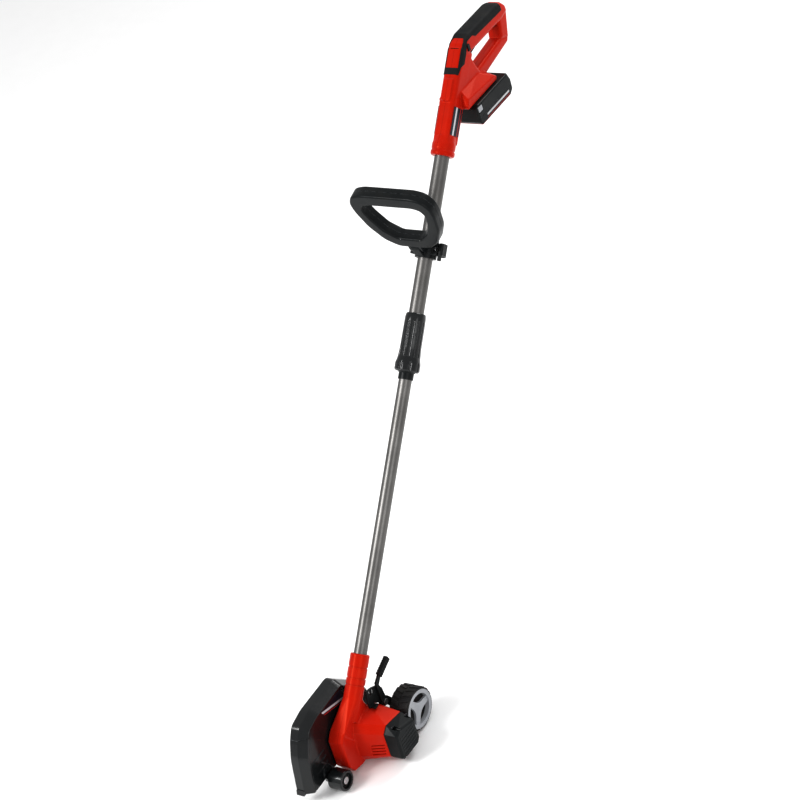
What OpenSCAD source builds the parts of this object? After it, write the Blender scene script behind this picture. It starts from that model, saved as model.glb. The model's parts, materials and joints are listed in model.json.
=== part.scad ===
// Battery lawn edger: jointed assembly, millimetres.
// X points to the motor side, Y to the user, Z up. The blade spindle runs along X through the origin.
// The long shaft leans back 45 degrees, as the tool is held in use.

/* [Blade and guard] */
// Blade diameter, tip to tip
blade_d = 190; // [180:1:192]
// Blade thickness
blade_t = 2.4; // [2:0.1:3]
// Guard wall thickness
guard_t = 3; // [2.4:0.1:3.6]
// Depth of the bevel round the guard's inner face
guard_bevel = 8; // [5:0.5:9]

/* [Shaft tubes] */
// Lower tube outer diameter
lower_tube_d = 22.5; // [22:0.1:22.6]
// Upper tube outer diameter
upper_tube_d = 25.6; // [25.5:0.1:26]
// Tube wall thickness
tube_wall = 1.2; // [1:0.1:1.3]

/* [Wheels] */
// Rear wheel diameter over the tread
wheel_d = 77; // [70:1:78]
// Rear wheel width
wheel_w = 40; // [34:1:40]
// Front guide roller diameter
roller_d = 37; // [32:0.5:37]
// Tread blocks round the rear wheel
tread_count = 20; // [16:1:24]

/* [Gears and motor] */
// Teeth on the spindle gear
gear_teeth = 60; // [60:1:60]
// Teeth on the motor pinion
pinion_teeth = 24; // [24:1:24]
// Gear module
gear_module = 1; // [1:1:1]
// Motor can diameter
motor_d = 41; // [36:1:41]

/* [Battery] */
// Battery width across the tool
battery_w = 74; // [68:1:76]
// Cell diameter
cell_d = 18; // [17:0.5:18.5]

/* [Hidden] */
$fn = 64;
shaft_tilt = 45;
shaft_front = 28.7;
motor_angle = 4;
motor_centre = gear_module * (gear_teeth + pinion_teeth) / 2;
motor_y = motor_centre * cos(motor_angle);
motor_z = motor_centre * sin(motor_angle);
roller_y = -59.6;
roller_z = -23.2;
wheel_y = 108.5;
wheel_z = -3.5;
wheel_x = 26;
lever_y = 78;
lever_z = 33;
guard_x0 = -54;
guard_mid_x = -38;
guard_x1 = -22;
collar_start = 1000;
clamp_s = 842;
loop_tilt = 16;
loop_y = 558.5;
loop_z = 635;
guard_outline = [[-114.7, -30], [114.7, -30], [103, 22], [97, 49], [44, 102], [-36, 102],
    [-68, 95], [-83, 76], [-97, 47], [-102, 27]];
gearbox_outline = [[-39, -15], [-30, -31], [-8, -36], [38, -35], [60, -24], [67, 0], [66, 26],
    [52, 44], [20, 54], [-25, 50], [-36.5, 38]];
motor_root = [[-8, -17], [-2, -31], [57, -31], [67, -20], [68, 38], [56, 48], [1, 50], [-6, 35]];
motor_outline = [[10, -21], [15, -27.5], [57, -29], [66, -20], [68.5, 28], [24.5, 36.5],
    [12, 26.5]];
cover_outline = [[10, -20.5], [15, -26.5], [56.5, -28], [65.2, -19.5], [65.8, 20.5], [26, 33.4],
    [12, 26.8]];
loop_outer = [[-30, 6], [30, 6], [54, 21], [73, 54], [82, 92], [82, 112], [71, 129], [50, 135],
    [-50, 135], [-71, 129], [-82, 112], [-82, 92], [-73, 54], [-54, 21]];
loop_hole = [[-22, 30], [22, 30], [42, 46], [55, 74], [60, 94], [56, 104], [44, 108],
    [-44, 108], [-56, 104], [-60, 94], [-55, 74], [-42, 46]];
top_bar = [[800, 861], [812, 847], [935, 847], [957, 852], [956, 864], [946, 875], [928, 879.5],
    [832, 879.5], [812, 872.5]];
rear_bar = [[918, 818], [942, 808], [957, 852], [950, 866], [928, 858]];
low_bar = [[818, 808], [822, 791], [852, 788], [938, 802], [944, 812], [918, 820]];
front_block = [[772, 806], [790, 790], [838, 790], [838, 800], [822, 808], [812, 824],
    [812, 846], [812, 872], [800, 862]];
neck_block = [[690.7, 753.9], [716.8, 727.7], [832, 843], [806, 869.2]];
dock_low = [[757, 777.2], [853, 777.2], [857, 783], [850, 789], [762, 795], [755, 784]];
dock_high = [[764, 779], [850, 779], [848, 796], [826, 808], [766, 808]];
trigger_outline = [[818, 831], [813.5, 846], [818, 856], [838, 859], [905, 861], [918, 860],
    [922, 853], [916, 845.5], [900, 844.6], [850, 844], [836, 841], [827, 834]];
battery_outline = [[769, 744], [775, 737], [871, 737], [881, 744], [882, 762], [876, 776.6],
    [775, 776.6], [769, 770]];
handle_screw_at = [[942, 856], [936, 812], [844, 799], [762, 789], [731.4, 747.9], [800, 852]];
head_screw_at = [[-31.5, 36], [-28, -22], [57, -18.5], [52, 34]];
cover_low_screw_at = [[19, -24.3], [60.3, -24.6]];
cover_top_screw_at = [[65, 25.2], [25.6, 33]];
cover_screw_at = concat(cover_low_screw_at, cover_top_screw_at);
cover_seat = 72;
guard_screw_at = [[-20, 16], [-20, -16], [20, -16], [20, 16]];

function unit(v) = v / norm(v);
function inset(p, d) = [for (i = [0:len(p) - 1])
    let (a = p[(i + len(p) - 1) % len(p)], b = p[i], c = p[(i + 1) % len(p)],
        u = unit(b - a), v = unit(c - b), m = [-u[1], u[0]], n = [-v[1], v[0]])
    b + d * (m + n) / (1 + m * n)];

// Stands children drawn along +Z onto the shaft, a distance s up from the blade's level.
module on_shaft(s) {
    rotate([-shaft_tilt, 0, 0])
        translate([0, -shaft_front, s])
            children();
}

// Extrudes a side profile given in Y and Z between two X positions.
module slab(x0, x1) {
    translate([x0, 0, 0])
        rotate([90, 0, 90])
            linear_extrude(height = x1 - x0)
                children();
}

module prism(x0, x1, outline) {
    slab(x0, x1) polygon(outline);
}

module rod_x(r, x0, x1, y, z) {
    translate([x0, y, z])
        rotate([0, 90, 0])
            cylinder(r = r, h = x1 - x0);
}

module ring_x(r_out, r_in, x0, x1, y, z) {
    difference() {
        rod_x(r_out, x0, x1, y, z);
        rod_x(r_in, x0 - 1, x1 + 1, y, z);
    }
}

// A convex bar seen from the side, with its long edges chamfered by c.
module bar(outline, half, c) {
    hull() {
        prism(-half, half, inset(outline, c));
        prism(c - half, half - c, outline);
    }
}

module side_half(sign) {
    intersection() {
        children();
        translate([sign > 0 ? 0 : -200, -400, -400])
            cube([200, 1600, 1600]);
    }
}

module gear_teeth_ring(count, x0, x1, y, z, phase) {
    r = gear_module * count / 2;
    translate([x0, y, z])
        rotate([90, 0, 90])
            linear_extrude(height = x1 - x0)
                union() {
                    circle(r = r - 0.95 * gear_module);
                    for (i = [0:count - 1])
                        rotate(phase + i * 360 / count)
                            polygon([[r - 3, -0.6], [r - 1.4, -0.9], [r, -0.6], [r + 0.75, -0.32],
                                [r + 0.75, 0.32], [r, 0.6], [r - 1.4, 0.9], [r - 3, 0.6]]);
                }
}

module screw_x(r_head, r_shank, x_head, x_tip, y, z) {
    s = x_tip > x_head ? 1 : -1;
    rod_x(r_head, min(x_head, x_head + s * 2.4), max(x_head, x_head + s * 2.4), y, z);
    rod_x(r_shank, min(x_head + s * 2, x_tip), max(x_head + s * 2, x_tip), y, z);
}

// ---- rear handle ----

module handle_solid() {
    bar(neck_block, 16, 3.5);
    bar(front_block, 15.8, 4);
    bar(top_bar, 15.5, 5);
    bar(rear_bar, 14, 4);
    bar(low_bar, 13, 4);
    hull() {
        prism(-30, 30, dock_low);
        prism(-15, 15, dock_high);
    }
    on_shaft(collar_start)
        rotate_extrude()
            polygon([[0, 0], [18.5, 0], [20.7, 2.5], [20.7, 8], [19.4, 9.2], [19.4, 11], [20.3, 12.2],
                [20.3, 21], [18.6, 26], [17.6, 34], [0, 34]]);
}

module handle_cavity() {
    on_shaft(collar_start - 1)
        cylinder(r = upper_tube_d / 2 + 0.02, h = 63);
    prism(-11, 11, inset(neck_block, 6));
    prism(-12, 12, inset(front_block, 4));
    prism(-11, 11, [[803, 862], [812, 851], [926, 851], [926, 864], [918, 872], [836, 872]]);
    prism(-8.6, 8.6, [[804, 862], [806, 832], [815, 826], [835, 834], [850, 840], [925, 840],
        [925, 862]]);
    prism(-27, 27, [[764, 776], [846, 776], [846, 783], [838, 788], [768, 788]]);
    // push-through opening for the lock button
    translate([-20, 817.7, 853.7])
        cube([40, 6.6, 12.6]);
    // trigger pivot
    rod_x(2.05, -14, 14, 915, 853);
    for (p = handle_screw_at)
        rod_x(1.5, -20, 12, p[0], p[1]);
    for (p = handle_screw_at)
        rod_x(3.2, -20, -9.5, p[0], p[1]);
}

module handle_half(sign) {
    side_half(sign)
        difference() {
            handle_solid();
            handle_cavity();
            overmould_volume();
        }
}

module rear_housing_left() {
    color([0.8, 0.06, 0.05]) handle_half(-1);
}

module rear_housing_right() {
    color([0.8, 0.06, 0.05]) handle_half(1);
}

// Soft skin over the top bar, down both sides of the neck and round it as a band.
module overmould_volume() {
    difference() {
        intersection() {
            union() {
                prism(-16.2, 16.2, inset(top_bar, -0.8));
                prism(-16.8, 16.8, inset(neck_block, -0.8));
            }
            slab(-30, 30) polygon([[768, 860], [768, 845], [774, 834], [786, 842], [797, 842],
                [814, 859], [822, 871], [840, 872], [849, 866], [918, 864], [938, 864],
                [938, 890], [800, 890]]);
        }
        prism(-13.6, 13.6, inset(top_bar, 1.8));
        prism(-14.2, 14.2, inset(neck_block, 1.8));
        // the red spine stays clear between the two strips
        slab(-10, 10) polygon([[779, 846], [768, 857], [800, 892], [824, 868]]);
    }
}

module grip_overmould() {
    color([0.07, 0.07, 0.08])
        difference() {
            overmould_volume();
            for (m = [0, 1])
                mirror([m, 0, 0])
                    translate([16.2, 780, 880.3])
                        rotate([0, 45, 0])
                            translate([-3, 20, -10])
                                cube([6, 200, 20]);
            // round the lock button
            translate([-20, 817.7, 853.7])
                cube([40, 6.6, 12.6]);
        }
}

module side_labels() {
    color([0.05, 0.06, 0.09])
        for (s = [-1, 1])
            translate([s * 16.3, 0, 0])
                prism(-0.3, 0.3, [[704.6, 760.6], [721.6, 743.9], [755.5, 777.8], [738.5, 795]]);
}

module switch_module() {
    color([0.12, 0.12, 0.13]) {
        translate([-5.2, 836, 861.8])
            cube([10.4, 26, 9.4]);
        translate([-3, 842, 855])
            cube([6, 5, 7]);
    }
}

module terminal_block() {
    color([0.1, 0.1, 0.1])
        translate([-15, 790, 770.6])
            cube([30, 40, 8]);
    color([0.8, 0.7, 0.4])
        for (x = [-10, -3.3, 3.3, 10])
            translate([x - 0.6, 774, 771.6])
                cube([1.2, 17, 4]);
}

module handle_screws() {
    color([0.5, 0.5, 0.52])
        for (p = handle_screw_at)
            screw_x(3, 1.5, -12.5, 10, p[0], p[1]);
}

module trigger() {
    color([0.06, 0.06, 0.07])
        difference() {
            prism(-8, 8, trigger_outline);
            rod_x(2.1, -10, 10, 915, 853);
            prism(-5.5, 5.5, [[822, 846], [826, 862], [900, 864], [900, 851], [850, 849]]);
        }
}

module trigger_pin() {
    color([0.7, 0.7, 0.72]) rod_x(2, -12.9, 12.9, 915, 853);
}

// Open coil drawn as rings between the trigger and the housing.
module trigger_spring() {
    color([0.7, 0.7, 0.72])
        for (i = [0:5])
            translate([0, 868, 854.4 + i * 2.7])
                rotate_extrude($fn = 32)
                    translate([3, 0])
                        circle(r = 0.5, $fn = 14);
}

module lock_button() {
    color([0.07, 0.07, 0.08]) {
        difference() {
            translate([-18, 818, 854])
                cube([36, 6, 12]);
            translate([-9.8, 817, 853])
                cube([19.6, 8, 11.8]);
        }
    }
}

// ---- battery ----

module battery_case() {
    half = battery_w / 2;
    color([0.07, 0.07, 0.08])
        difference() {
            union() {
                intersection() {
                    bar(battery_outline, half, 3);
                    translate([-60, 700, 739])
                        cube([120, 300, 90]);
                }
                hull() {
                    prism(-26, 26, [[859, 770], [878, 770], [866, 786], [859, 786]]);
                    prism(-30, 30, [[859, 770], [880, 770], [870, 781], [859, 781]]);
                }
            }
            translate([3 - half, 772, 736])
                cube([battery_w - 6, 103, 22.5]);
            translate([-17, 760, 767])
                cube([34, 91, 20]);
            for (s = [-1, 1])
                translate([s * (half - 3.1) - 3.1, 771.6, 761.6])
                    cube([6.2, 12.8, 10.8]);
        }
}

module battery_base() {
    half = battery_w / 2;
    color([0.75, 0.07, 0.06])
        intersection() {
            bar(battery_outline, half, 3);
            translate([-60, 700, 730])
                cube([120, 300, 9]);
        }
}

module battery_cells() {
    color([0.2, 0.45, 0.3])
        for (i = [0:4])
            rod_x(cell_d / 2, -32.5, 32.5, 783.5 + i * 20, 748.8);
}

module battery_button(sign) {
    half = battery_w / 2;
    color([0.45, 0.46, 0.48])
        translate([sign * (half - 2) - 2.5, 772, 762])
            cube([5, 12, 10]);
}

module battery_button_left() {
    battery_button(-1);
}

module battery_button_right() {
    battery_button(1);
}

// ---- shaft ----

module upper_tube() {
    color([0.5, 0.5, 0.52])
        on_shaft(690)
            difference() {
                cylinder(d = upper_tube_d, h = 370);
                translate([0, 0, -1])
                    cylinder(r = upper_tube_d / 2 - tube_wall, h = 372);
            }
}

module lower_tube() {
    color([0.5, 0.5, 0.52])
        on_shaft(46)
            difference() {
                cylinder(d = lower_tube_d, h = 804);
                translate([0, 0, -1])
                    cylinder(r = lower_tube_d / 2 - tube_wall, h = 806);
            }
}

module motor_lead() {
    color([0.05, 0.05, 0.05])
        on_shaft(44)
            cylinder(r = 2.6, h = 810);
}

module tube_collet() {
    color([0.1, 0.1, 0.11])
        on_shaft(618)
            difference() {
                rotate_extrude()
                    polygon([[11.6, 0], [13, 0], [13, 11], [15, 13], [15, 107], [12.85, 107],
                        [12.85, 71.6], [11.6, 71.6]]);
                for (a = [0:60:300])
                    rotate(a)
                        translate([0, -0.6, 14])
                            cube([20, 1.2, 50]);
            }
}

module clamp_sleeve() {
    color([0.04, 0.04, 0.05])
        on_shaft(631)
            difference() {
                rotate_extrude()
                    polygon([[15.4, 0], [19, 0], [21.5, 3], [21.5, 14], [19.4, 24], [18.2, 40],
                        [17.8, 92], [16.9, 98], [15.4, 100]]);
                for (a = [0:30:330])
                    rotate(a)
                        translate([20.2, 0, 26])
                            cylinder(r = 3, h = 60, $fn = 24);
                for (a = [0:45:315])
                    rotate(a)
                        translate([23.4, 0, -1])
                            cylinder(r = 3.4, h = 18, $fn = 24);
            }
}

// ---- second handle ----

// Puts children drawn with x across, y up the loop and z through it onto the clamp.
module on_loop() {
    translate([0, loop_y, loop_z])
        rotate([90 + loop_tilt, 0, 0])
            children();
}

module loop_ring(z0, z1, d_out, d_in) {
    translate([0, 0, z0])
        linear_extrude(height = z1 - z0)
            difference() {
                polygon(inset(loop_outer, d_out));
                polygon(inset(loop_hole, -d_in));
            }
}

module loop_half(sign) {
    z_b = sign > 0 ? 9 : -12;
    z_c = sign > 0 ? 0 : -9;
    difference() {
        on_loop()
            difference() {
                union() {
                    loop_ring(z_c, z_c + 9, 0, 0);
                    loop_ring(z_b, z_b + 3, 3, 3);
                    translate([-13, 0, sign > 0 ? 0 : -11.2])
                        cube([26, 11, 11.2]);
                    intersection() {
                        rotate([0, 90, 0])
                            cylinder(r = 11.2, h = 26, center = true);
                        translate([-20, -20, sign > 0 ? 0 : -20])
                            cube([40, 40, 20]);
                    }
                }
                translate([0, 0, sign > 0 ? -1 : -9])
                    linear_extrude(height = 10)
                        difference() {
                            polygon(inset(loop_outer, 3.5));
                            polygon(inset(loop_hole, -3.5));
                            translate([-26, -20])
                                square([52, 56]);
                        }
                for (p = loop_screw_at) {
                    translate([p[0], p[1], -14])
                        cylinder(r = 1.6, h = 28);
                    translate([p[0], p[1], 9])
                        cylinder(r = 3.2, h = 5);
                }
            }
        rod_x(3.05, -20, 20, loop_y, loop_z);
        rod_x(14.6, -8.2, 8.2, loop_y, loop_z);
    }
}

loop_screw_at = [[-20, 24], [20, 24]];

module aux_loop_upper() {
    color([0.09, 0.1, 0.11]) loop_half(-1);
}

module aux_loop_lower() {
    color([0.08, 0.09, 0.1]) loop_half(1);
}

module aux_loop_screws() {
    color([0.5, 0.5, 0.52])
        on_loop()
            for (p = loop_screw_at)
                translate([p[0], p[1], -8]) {
                    cylinder(r = 1.6, h = 17);
                    translate([0, 0, 17])
                        cylinder(r = 3, h = 2.5);
                }
}

module clamp_body(sign) {
    on_shaft(clamp_s)
        intersection() {
            difference() {
                union() {
                    translate([0, 0, -17])
                        cylinder(r = 18.5, h = 34);
                    for (s = [-1, 1])
                        translate([s * 21 - 7, -7, -11])
                            cube([14, 14, 22]);
                }
                translate([0, 0, -30])
                    cylinder(r = upper_tube_d / 2 + 0.3, h = 60);
            }
            translate([-60, sign > 0 ? 0.6 : -60.6, -60])
                cube([120, 60, 120]);
        }
}

module aux_clamp_front() {
    color([0.05, 0.05, 0.06])
        difference() {
            union() {
                clamp_body(-1);
                hull() {
                    rod_x(12.5, -7.7, 7.7, loop_y, loop_z);
                    on_shaft(clamp_s)
                        translate([-7.7, -18, -16])
                            cube([15.4, 4, 30]);
                }
                for (i = [-1:1])
                    on_shaft(clamp_s)
                        translate([0, 0, i * 9 - 1])
                            cylinder(r = 19.6, h = 2);
            }
            on_shaft(clamp_s)
                translate([0, 0, -30])
                    cylinder(r = upper_tube_d / 2 + 0.3, h = 60);
            on_shaft(clamp_s)
                translate([-60, -0.6, -60])
                    cube([120, 60, 120]);
            rod_x(3.05, -20, 20, loop_y, loop_z);
            // room for the loop's two cheeks
            for (x = [-13.6, 7.9])
                rod_x(11.8, x, x + 5.7, loop_y, loop_z);
            clamp_bolt_hole(2.6);
            lever_room();
        }
}

// Slanted cut that keeps the ears clear of the closed lever.
module lever_room() {
    on_shaft(clamp_s)
        translate([24, 15, -30])
            rotate(-69.1)
                translate([-9, -6.3, 0])
                    cube([60, 30, 60]);
}

module clamp_bolt_hole(r) {
    on_shaft(clamp_s)
        for (s = [-1, 1])
            translate([s * 22, 40, 0])
                rotate([90, 0, 0])
                    cylinder(r = r, h = 80);
}

module aux_clamp_rear() {
    color([0.05, 0.05, 0.06])
        difference() {
            clamp_body(1);
            clamp_bolt_hole(2.6);
            lever_room();
        }
}

// Hinge bolt of the loop and the two bolts that pull the clamp halves together.
module aux_clamp_bolt() {
    color([0.55, 0.55, 0.57]) {
        rod_x(3, -13, 13, loop_y, loop_z);
        on_shaft(clamp_s)
            for (s = [-1, 1])
                translate([s * 22, 15, 0])
                    rotate([90, 0, 0])
                        cylinder(r = 2.5, h = s > 0 ? 24 : 30);
        on_shaft(clamp_s)
            translate([-22, -12, 0])
                rotate([90, 0, 0])
                    cylinder(r = 5, h = 3.5, $fn = 6);
        on_shaft(clamp_s)
            translate([-22, 10.4, 0])
                rotate([90, 0, 0])
                    cylinder(r = 5, h = 3.2);
        on_shaft(clamp_s)
            translate([22, 15, -9])
                cylinder(r = 2.5, h = 18);
    }
}

// Ribbed cam lever that closes round its cross pin.
module clamp_lever() {
    color([0.05, 0.05, 0.06])
        on_shaft(clamp_s)
            difference() {
                union() {
                    translate([22, 15, -11])
                        cylinder(r = 7, h = 22);
                    hull() {
                        translate([24, 15, -11])
                            cylinder(r = 5.5, h = 22);
                        translate([32, -6, -9])
                            cylinder(r = 3.5, h = 18);
                    }
                    for (i = [0:4])
                        translate([28.5 + i * 1.2, 11 - i * 4.2, -10])
                            cylinder(r = 3.8, h = 20, $fn = 24);
                    translate([31, -11, -20])
                        cube([4, 7, 16]);
                }
                translate([22, 15, -30])
                    cylinder(r = 2.55, h = 60);
                translate([15, -5, -4])
                    cube([10.5, 35, 8]);
            }
}

// ---- cutting head housing ----

module head_solid() {
    prism(-20, 10, gearbox_outline);
    hull() {
        prism(8, 10, motor_root);
        prism(59.8, 60, motor_outline);
    }
    on_shaft(40)
        rotate_extrude()
            polygon([[0, 0], [17, 0], [16.6, 30], [16.5, 111], [15.4, 113], [0, 113]]);
    hull() {
        on_shaft(78)
            cylinder(r = 16.5, h = 1, $fn = 32);
        prism(-19, 11, [[-24, 45], [-8, 20], [50, 36], [44, 47], [20, 54], [-24, 50]]);
    }
}

module head_cavity() {
    prism(-17.5, 9.5, inset(gearbox_outline, 2.5));
    hull() {
        prism(8.9, 9, inset(motor_root, 3));
        prism(61, 61.2, inset(motor_outline, 2.2));
    }
    on_shaft(44)
        cylinder(r = lower_tube_d / 2 + 0.02, h = 120);
    rod_x(7.4, -30, 0, 0, 0);
    // air slots
    for (i = [0:3])
        translate([35 + i * 0.8, -8, -17 + i * 6.4])
            cube([17, 26, 2.6]);
    // shallow grip grooves on the socket
    on_shaft(0)
        for (s = [99, 111, 129])
            translate([0, 0, s])
                difference() {
                    cylinder(r = 20, h = 3.4);
                    translate([0, 0, -1])
                        cylinder(r = 15.9, h = 6);
                }
}

module head_posts(x0, x1) {
    for (p = head_screw_at)
        rod_x(4.2, x0, x1, p[0], p[1]);
}

module head_shell(sign) {
    side_half(sign)
        difference() {
            union() {
                difference() {
                    head_solid();
                    head_cavity();
                }
                if (sign < 0) {
                    head_posts(-18, 0);
                    ring_x(13.5, 11, -18, -10.6, 0, 0);
                }
                if (sign > 0) {
                    head_posts(0, 3.4);
                    for (p = cover_screw_at)
                        intersection() {
                            head_solid();
                            rod_x(4, 47, 60, p[0], p[1]);
                        }
                }
            }
            for (p = cover_screw_at)
                rod_x(1.42, 48.5, 61, p[0], p[1]);
            for (p = head_screw_at) {
                rod_x(1.5, -30, 20, p[0], p[1]);
                rod_x(3.1, -30, -16.8, p[0], p[1]);
            }
            for (p = guard_screw_at)
                rod_x(1.6, -30, -15, p[0], p[1]);
        }
}

module housing_left() {
    color([0.82, 0.06, 0.05]) head_shell(-1);
}

module housing_right() {
    color([0.82, 0.06, 0.05]) head_shell(1);
}

module housing_screws() {
    color([0.5, 0.5, 0.52])
        for (p = head_screw_at)
            screw_x(3, 1.4, -19.4, 7.5, p[0], p[1]);
}

module cover_form() {
    hull() {
        prism(60, 60.2, motor_outline);
        prism(83.8, 84, cover_outline);
        prism(87.8, 88, inset(cover_outline, 3.5));
    }
}

module motor_cover() {
    color([0.09, 0.1, 0.11])
        difference() {
            union() {
                difference() {
                    cover_form();
                    prism(59, 84.5, inset(cover_outline, 2));
                }
                intersection() {
                    cover_form();
                    for (p = cover_screw_at)
                        rod_x(5.6, 60, 90, p[0], p[1]);
                }
                for (p = cover_low_screw_at)
                    rod_x(5.6, 60, 79, p[0], p[1]);
            }
            for (i = [0:5])
                translate([86.6, 15.5 - (i > 2 ? 0 : 0.6 * (2 - i)), -18.5 + i * 6.7])
                    cube([10, i > 4 ? 36 : 45, 3.1]);
            for (p = cover_screw_at) {
                rod_x(4.2, cover_seat, 79, p[0], p[1]);
                rod_x(3.7, 78, 100, p[0], p[1]);
                rod_x(1.5, 50, 100, p[0], p[1]);
            }
        }
}

module cover_screws() {
    color([0.55, 0.55, 0.57])
        for (p = cover_screw_at)
            screw_x(3.5, 1.42, cover_seat + 2.4, 49, p[0], p[1]);
}

module depth_quadrant() {
    color([0.05, 0.05, 0.06]) {
        difference() {
            union() {
                prism(17, 20.4, [[44, 47], [44, 62], [49, 81], [64, 77], [79, 69], [87, 56],
                    [87, 28], [79, 23], [69.5, 27], [69.5, 38], [58, 47]]);
                prism(17, 30, [[46, 46.4], [56, 46.4], [56, 49.5], [46, 49.5]]);
            }
            prism(10, 25, [[52.5, 67.5], [56.5, 66.5], [58.5, 75.5], [54.5, 76.5]]);
            prism(10, 25, [[60, 65.5], [64, 64], [67, 72.5], [63, 74]]);
            rod_x(3.02, 10, 25, lever_y, lever_z);
        }
    }
}

module gear_plate() {
    color([0.6, 0.6, 0.62])
        difference() {
            union() {
                prism(4, 7, inset(gearbox_outline, 2.9));
                rod_x(14, 2.6, 9.4, 0, 0);
            }
            rod_x(11, 0, 20, 0, 0);
            rod_x(7, 0, 20, motor_y, motor_z);
            for (p = head_screw_at)
                rod_x(1.5, 0, 20, p[0], p[1]);
            on_shaft(44)
                cylinder(r = lower_tube_d / 2 + 0.3, h = 60);
        }
}

module motor_can() {
    r = motor_d / 2;
    color([0.62, 0.63, 0.65])
        difference() {
            rod_x(r, 11, 69, motor_y, motor_z);
            rod_x(r - 1.4, 12.6, 70, motor_y, motor_z);
            rod_x(2.56, 0, 20, motor_y, motor_z);
        }
}

module motor_magnets() {
    r = motor_d / 2 - 1.5;
    color([0.2, 0.2, 0.21])
        for (s = [-1, 1])
            intersection() {
                ring_x(r, r - 4.5, 18, 58, motor_y, motor_z);
                translate([10, motor_y - 30, s > 0 ? motor_z + 4 : motor_z - 34])
                    cube([60, 60, 30]);
            }
}

module motor_end_bell() {
    r = motor_d / 2;
    color([0.1, 0.1, 0.1]) {
        difference() {
            union() {
                rod_x(r, 69, 72, motor_y, motor_z);
                ring_x(r - 1.5, r - 4, 64, 70, motor_y, motor_z);
            }
            rod_x(2.56, 60, 80, motor_y, motor_z);
        }
    }
    color([0.75, 0.6, 0.35])
        for (s = [-1, 1])
            translate([62, motor_y + s * 10.6 - 3.6, motor_z - 2])
                cube([7, 7.2, 4]);
}

module motor_rotor() {
    color([0.72, 0.72, 0.74]) rod_x(2.5, -9, 83.8, motor_y, motor_z);
    color([0.35, 0.35, 0.37])
        difference() {
            rod_x(14, 22, 54, motor_y, motor_z);
            for (i = [0:4])
                translate([20, motor_y, motor_z])
                    rotate([i * 72, 0, 0])
                        translate([0, -1, 8])
                            cube([40, 2, 10]);
        }
    color([0.75, 0.45, 0.2]) rod_x(6.4, 56, 66, motor_y, motor_z);
}

module motor_fan() {
    color([0.15, 0.15, 0.16]) {
        ring_x(5, 2.5, 75, 83.6, motor_y, motor_z);
        ring_x(19, 4, 75, 76.4, motor_y, motor_z);
        for (i = [0:8])
            translate([76, motor_y, motor_z])
                rotate([i * 40, 0, 0])
                    translate([0, -0.7, 4.5])
                        cube([7.5, 1.4, 13.5]);
    }
}

module motor_pinion() {
    color([0.7, 0.7, 0.72])
        difference() {
            gear_teeth_ring(pinion_teeth, -8, 1.6, motor_y, motor_z, motor_angle + 180);
            rod_x(2.5, -20, 20, motor_y, motor_z);
        }
}

module drive_gear() {
    color([0.75, 0.75, 0.76])
        difference() {
            gear_teeth_ring(gear_teeth, -8, 1.6, 0, 0, motor_angle + 180 / gear_teeth);
            rod_x(6, -20, 20, 0, 0);
            for (i = [0:5])
                rotate([i * 60, 0, 0])
                    rod_x(4.5, -20, 20, 0, 18);
        }
}

module blade_spindle() {
    color([0.72, 0.72, 0.74]) {
        rod_x(5, -52, 9.2, 0, 0);
        rod_x(6, -10.2, 2.2, 0, 0);
        rod_x(7, -30, -20.4, 0, 0);
    }
}

module spindle_bearings() {
    color([0.78, 0.78, 0.8])
        for (x = [-17.45, 2.7]) {
            ring_x(11, 8.6, x, x + 6.6, 0, 0);
            ring_x(7, 5.05, x, x + 6.6, 0, 0);
            for (i = [0:7])
                rotate([i * 45, 0, 0])
                    translate([x + 3.3, 0, 7.8])
                        sphere(r = 1.2, $fn = 24);
        }
}

// ---- blade and guard ----

module blade_flange() {
    color([0.7, 0.7, 0.72]) ring_x(16, 5, -35.8, -30, 0, 0);
}

module blade() {
    half = blade_d / 2;
    color([0.62, 0.63, 0.65])
        difference() {
            prism(-35.8 - blade_t, -35.8, [[3 - half, -20], [half - 3, -20], [half - 0.6, 0],
                [half - 3, 20], [3 - half, 20], [0.6 - half, 0]]);
            rod_x(5, -50, -20, 0, 0);
            for (y = [-30, 30])
                rod_x(4, -50, -20, y, 0);
        }
}

module blade_washer() {
    x0 = -35.8 - blade_t;
    color([0.7, 0.7, 0.72]) ring_x(14, 5, x0 - 2.2, x0, 0, 0);
}

module blade_nut() {
    x0 = -38 - blade_t;
    color([0.75, 0.75, 0.77])
        difference() {
            translate([x0 - 7, 0, 0])
                rotate([0, 90, 0])
                    cylinder(r = 9.2, h = 7, $fn = 6);
            rod_x(5, -60, -20, 0, 0);
        }
}

module guard_body() {
    difference() {
        union() {
            prism(guard_x0, guard_mid_x, guard_outline);
            hull() {
                prism(guard_mid_x, guard_mid_x + 0.2, guard_outline);
                prism(guard_x1 - 0.2, guard_x1, inset(guard_outline, guard_bevel));
            }
            rod_x(33, guard_x1 - 1, -20, 0, 0);
        }
        prism(guard_x0 - 1, guard_mid_x, inset(guard_outline, guard_t));
        hull() {
            prism(guard_mid_x - 0.1, guard_mid_x, inset(guard_outline, guard_t));
            prism(guard_x1 - guard_t - 0.2, guard_x1 - guard_t,
                inset(guard_outline, guard_bevel + guard_t - 1.2));
        }
        translate([-80, -150, -58])
            cube([80, 300, 40]);
        rod_x(8, -40, 0, 0, 0);
        for (p = guard_screw_at)
            rod_x(2.1, -40, 0, p[0], p[1]);
        for (i = [0:2])
            translate([guard_x1 - 1.2, -84, 4 + i * 13])
                cube([3, 34, 3.6]);
    }
}

module front_band(extra) {
    slab(-60, 0)
        difference() {
            polygon([[-150, -60], [-60, -60], [-60, 77 + extra], [-150, 77 + extra]]);
            polygon(inset(guard_outline, 11 + extra));
        }
}

module roller_lug() {
    rod_x(9, -25, -14.6, roller_y, roller_z);
    prism(-25, -20, [[-72, -12], [-68.6, -23], [-50.6, -23], [-47, -12], [-52, 0], [-66, 0]]);
}

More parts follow.
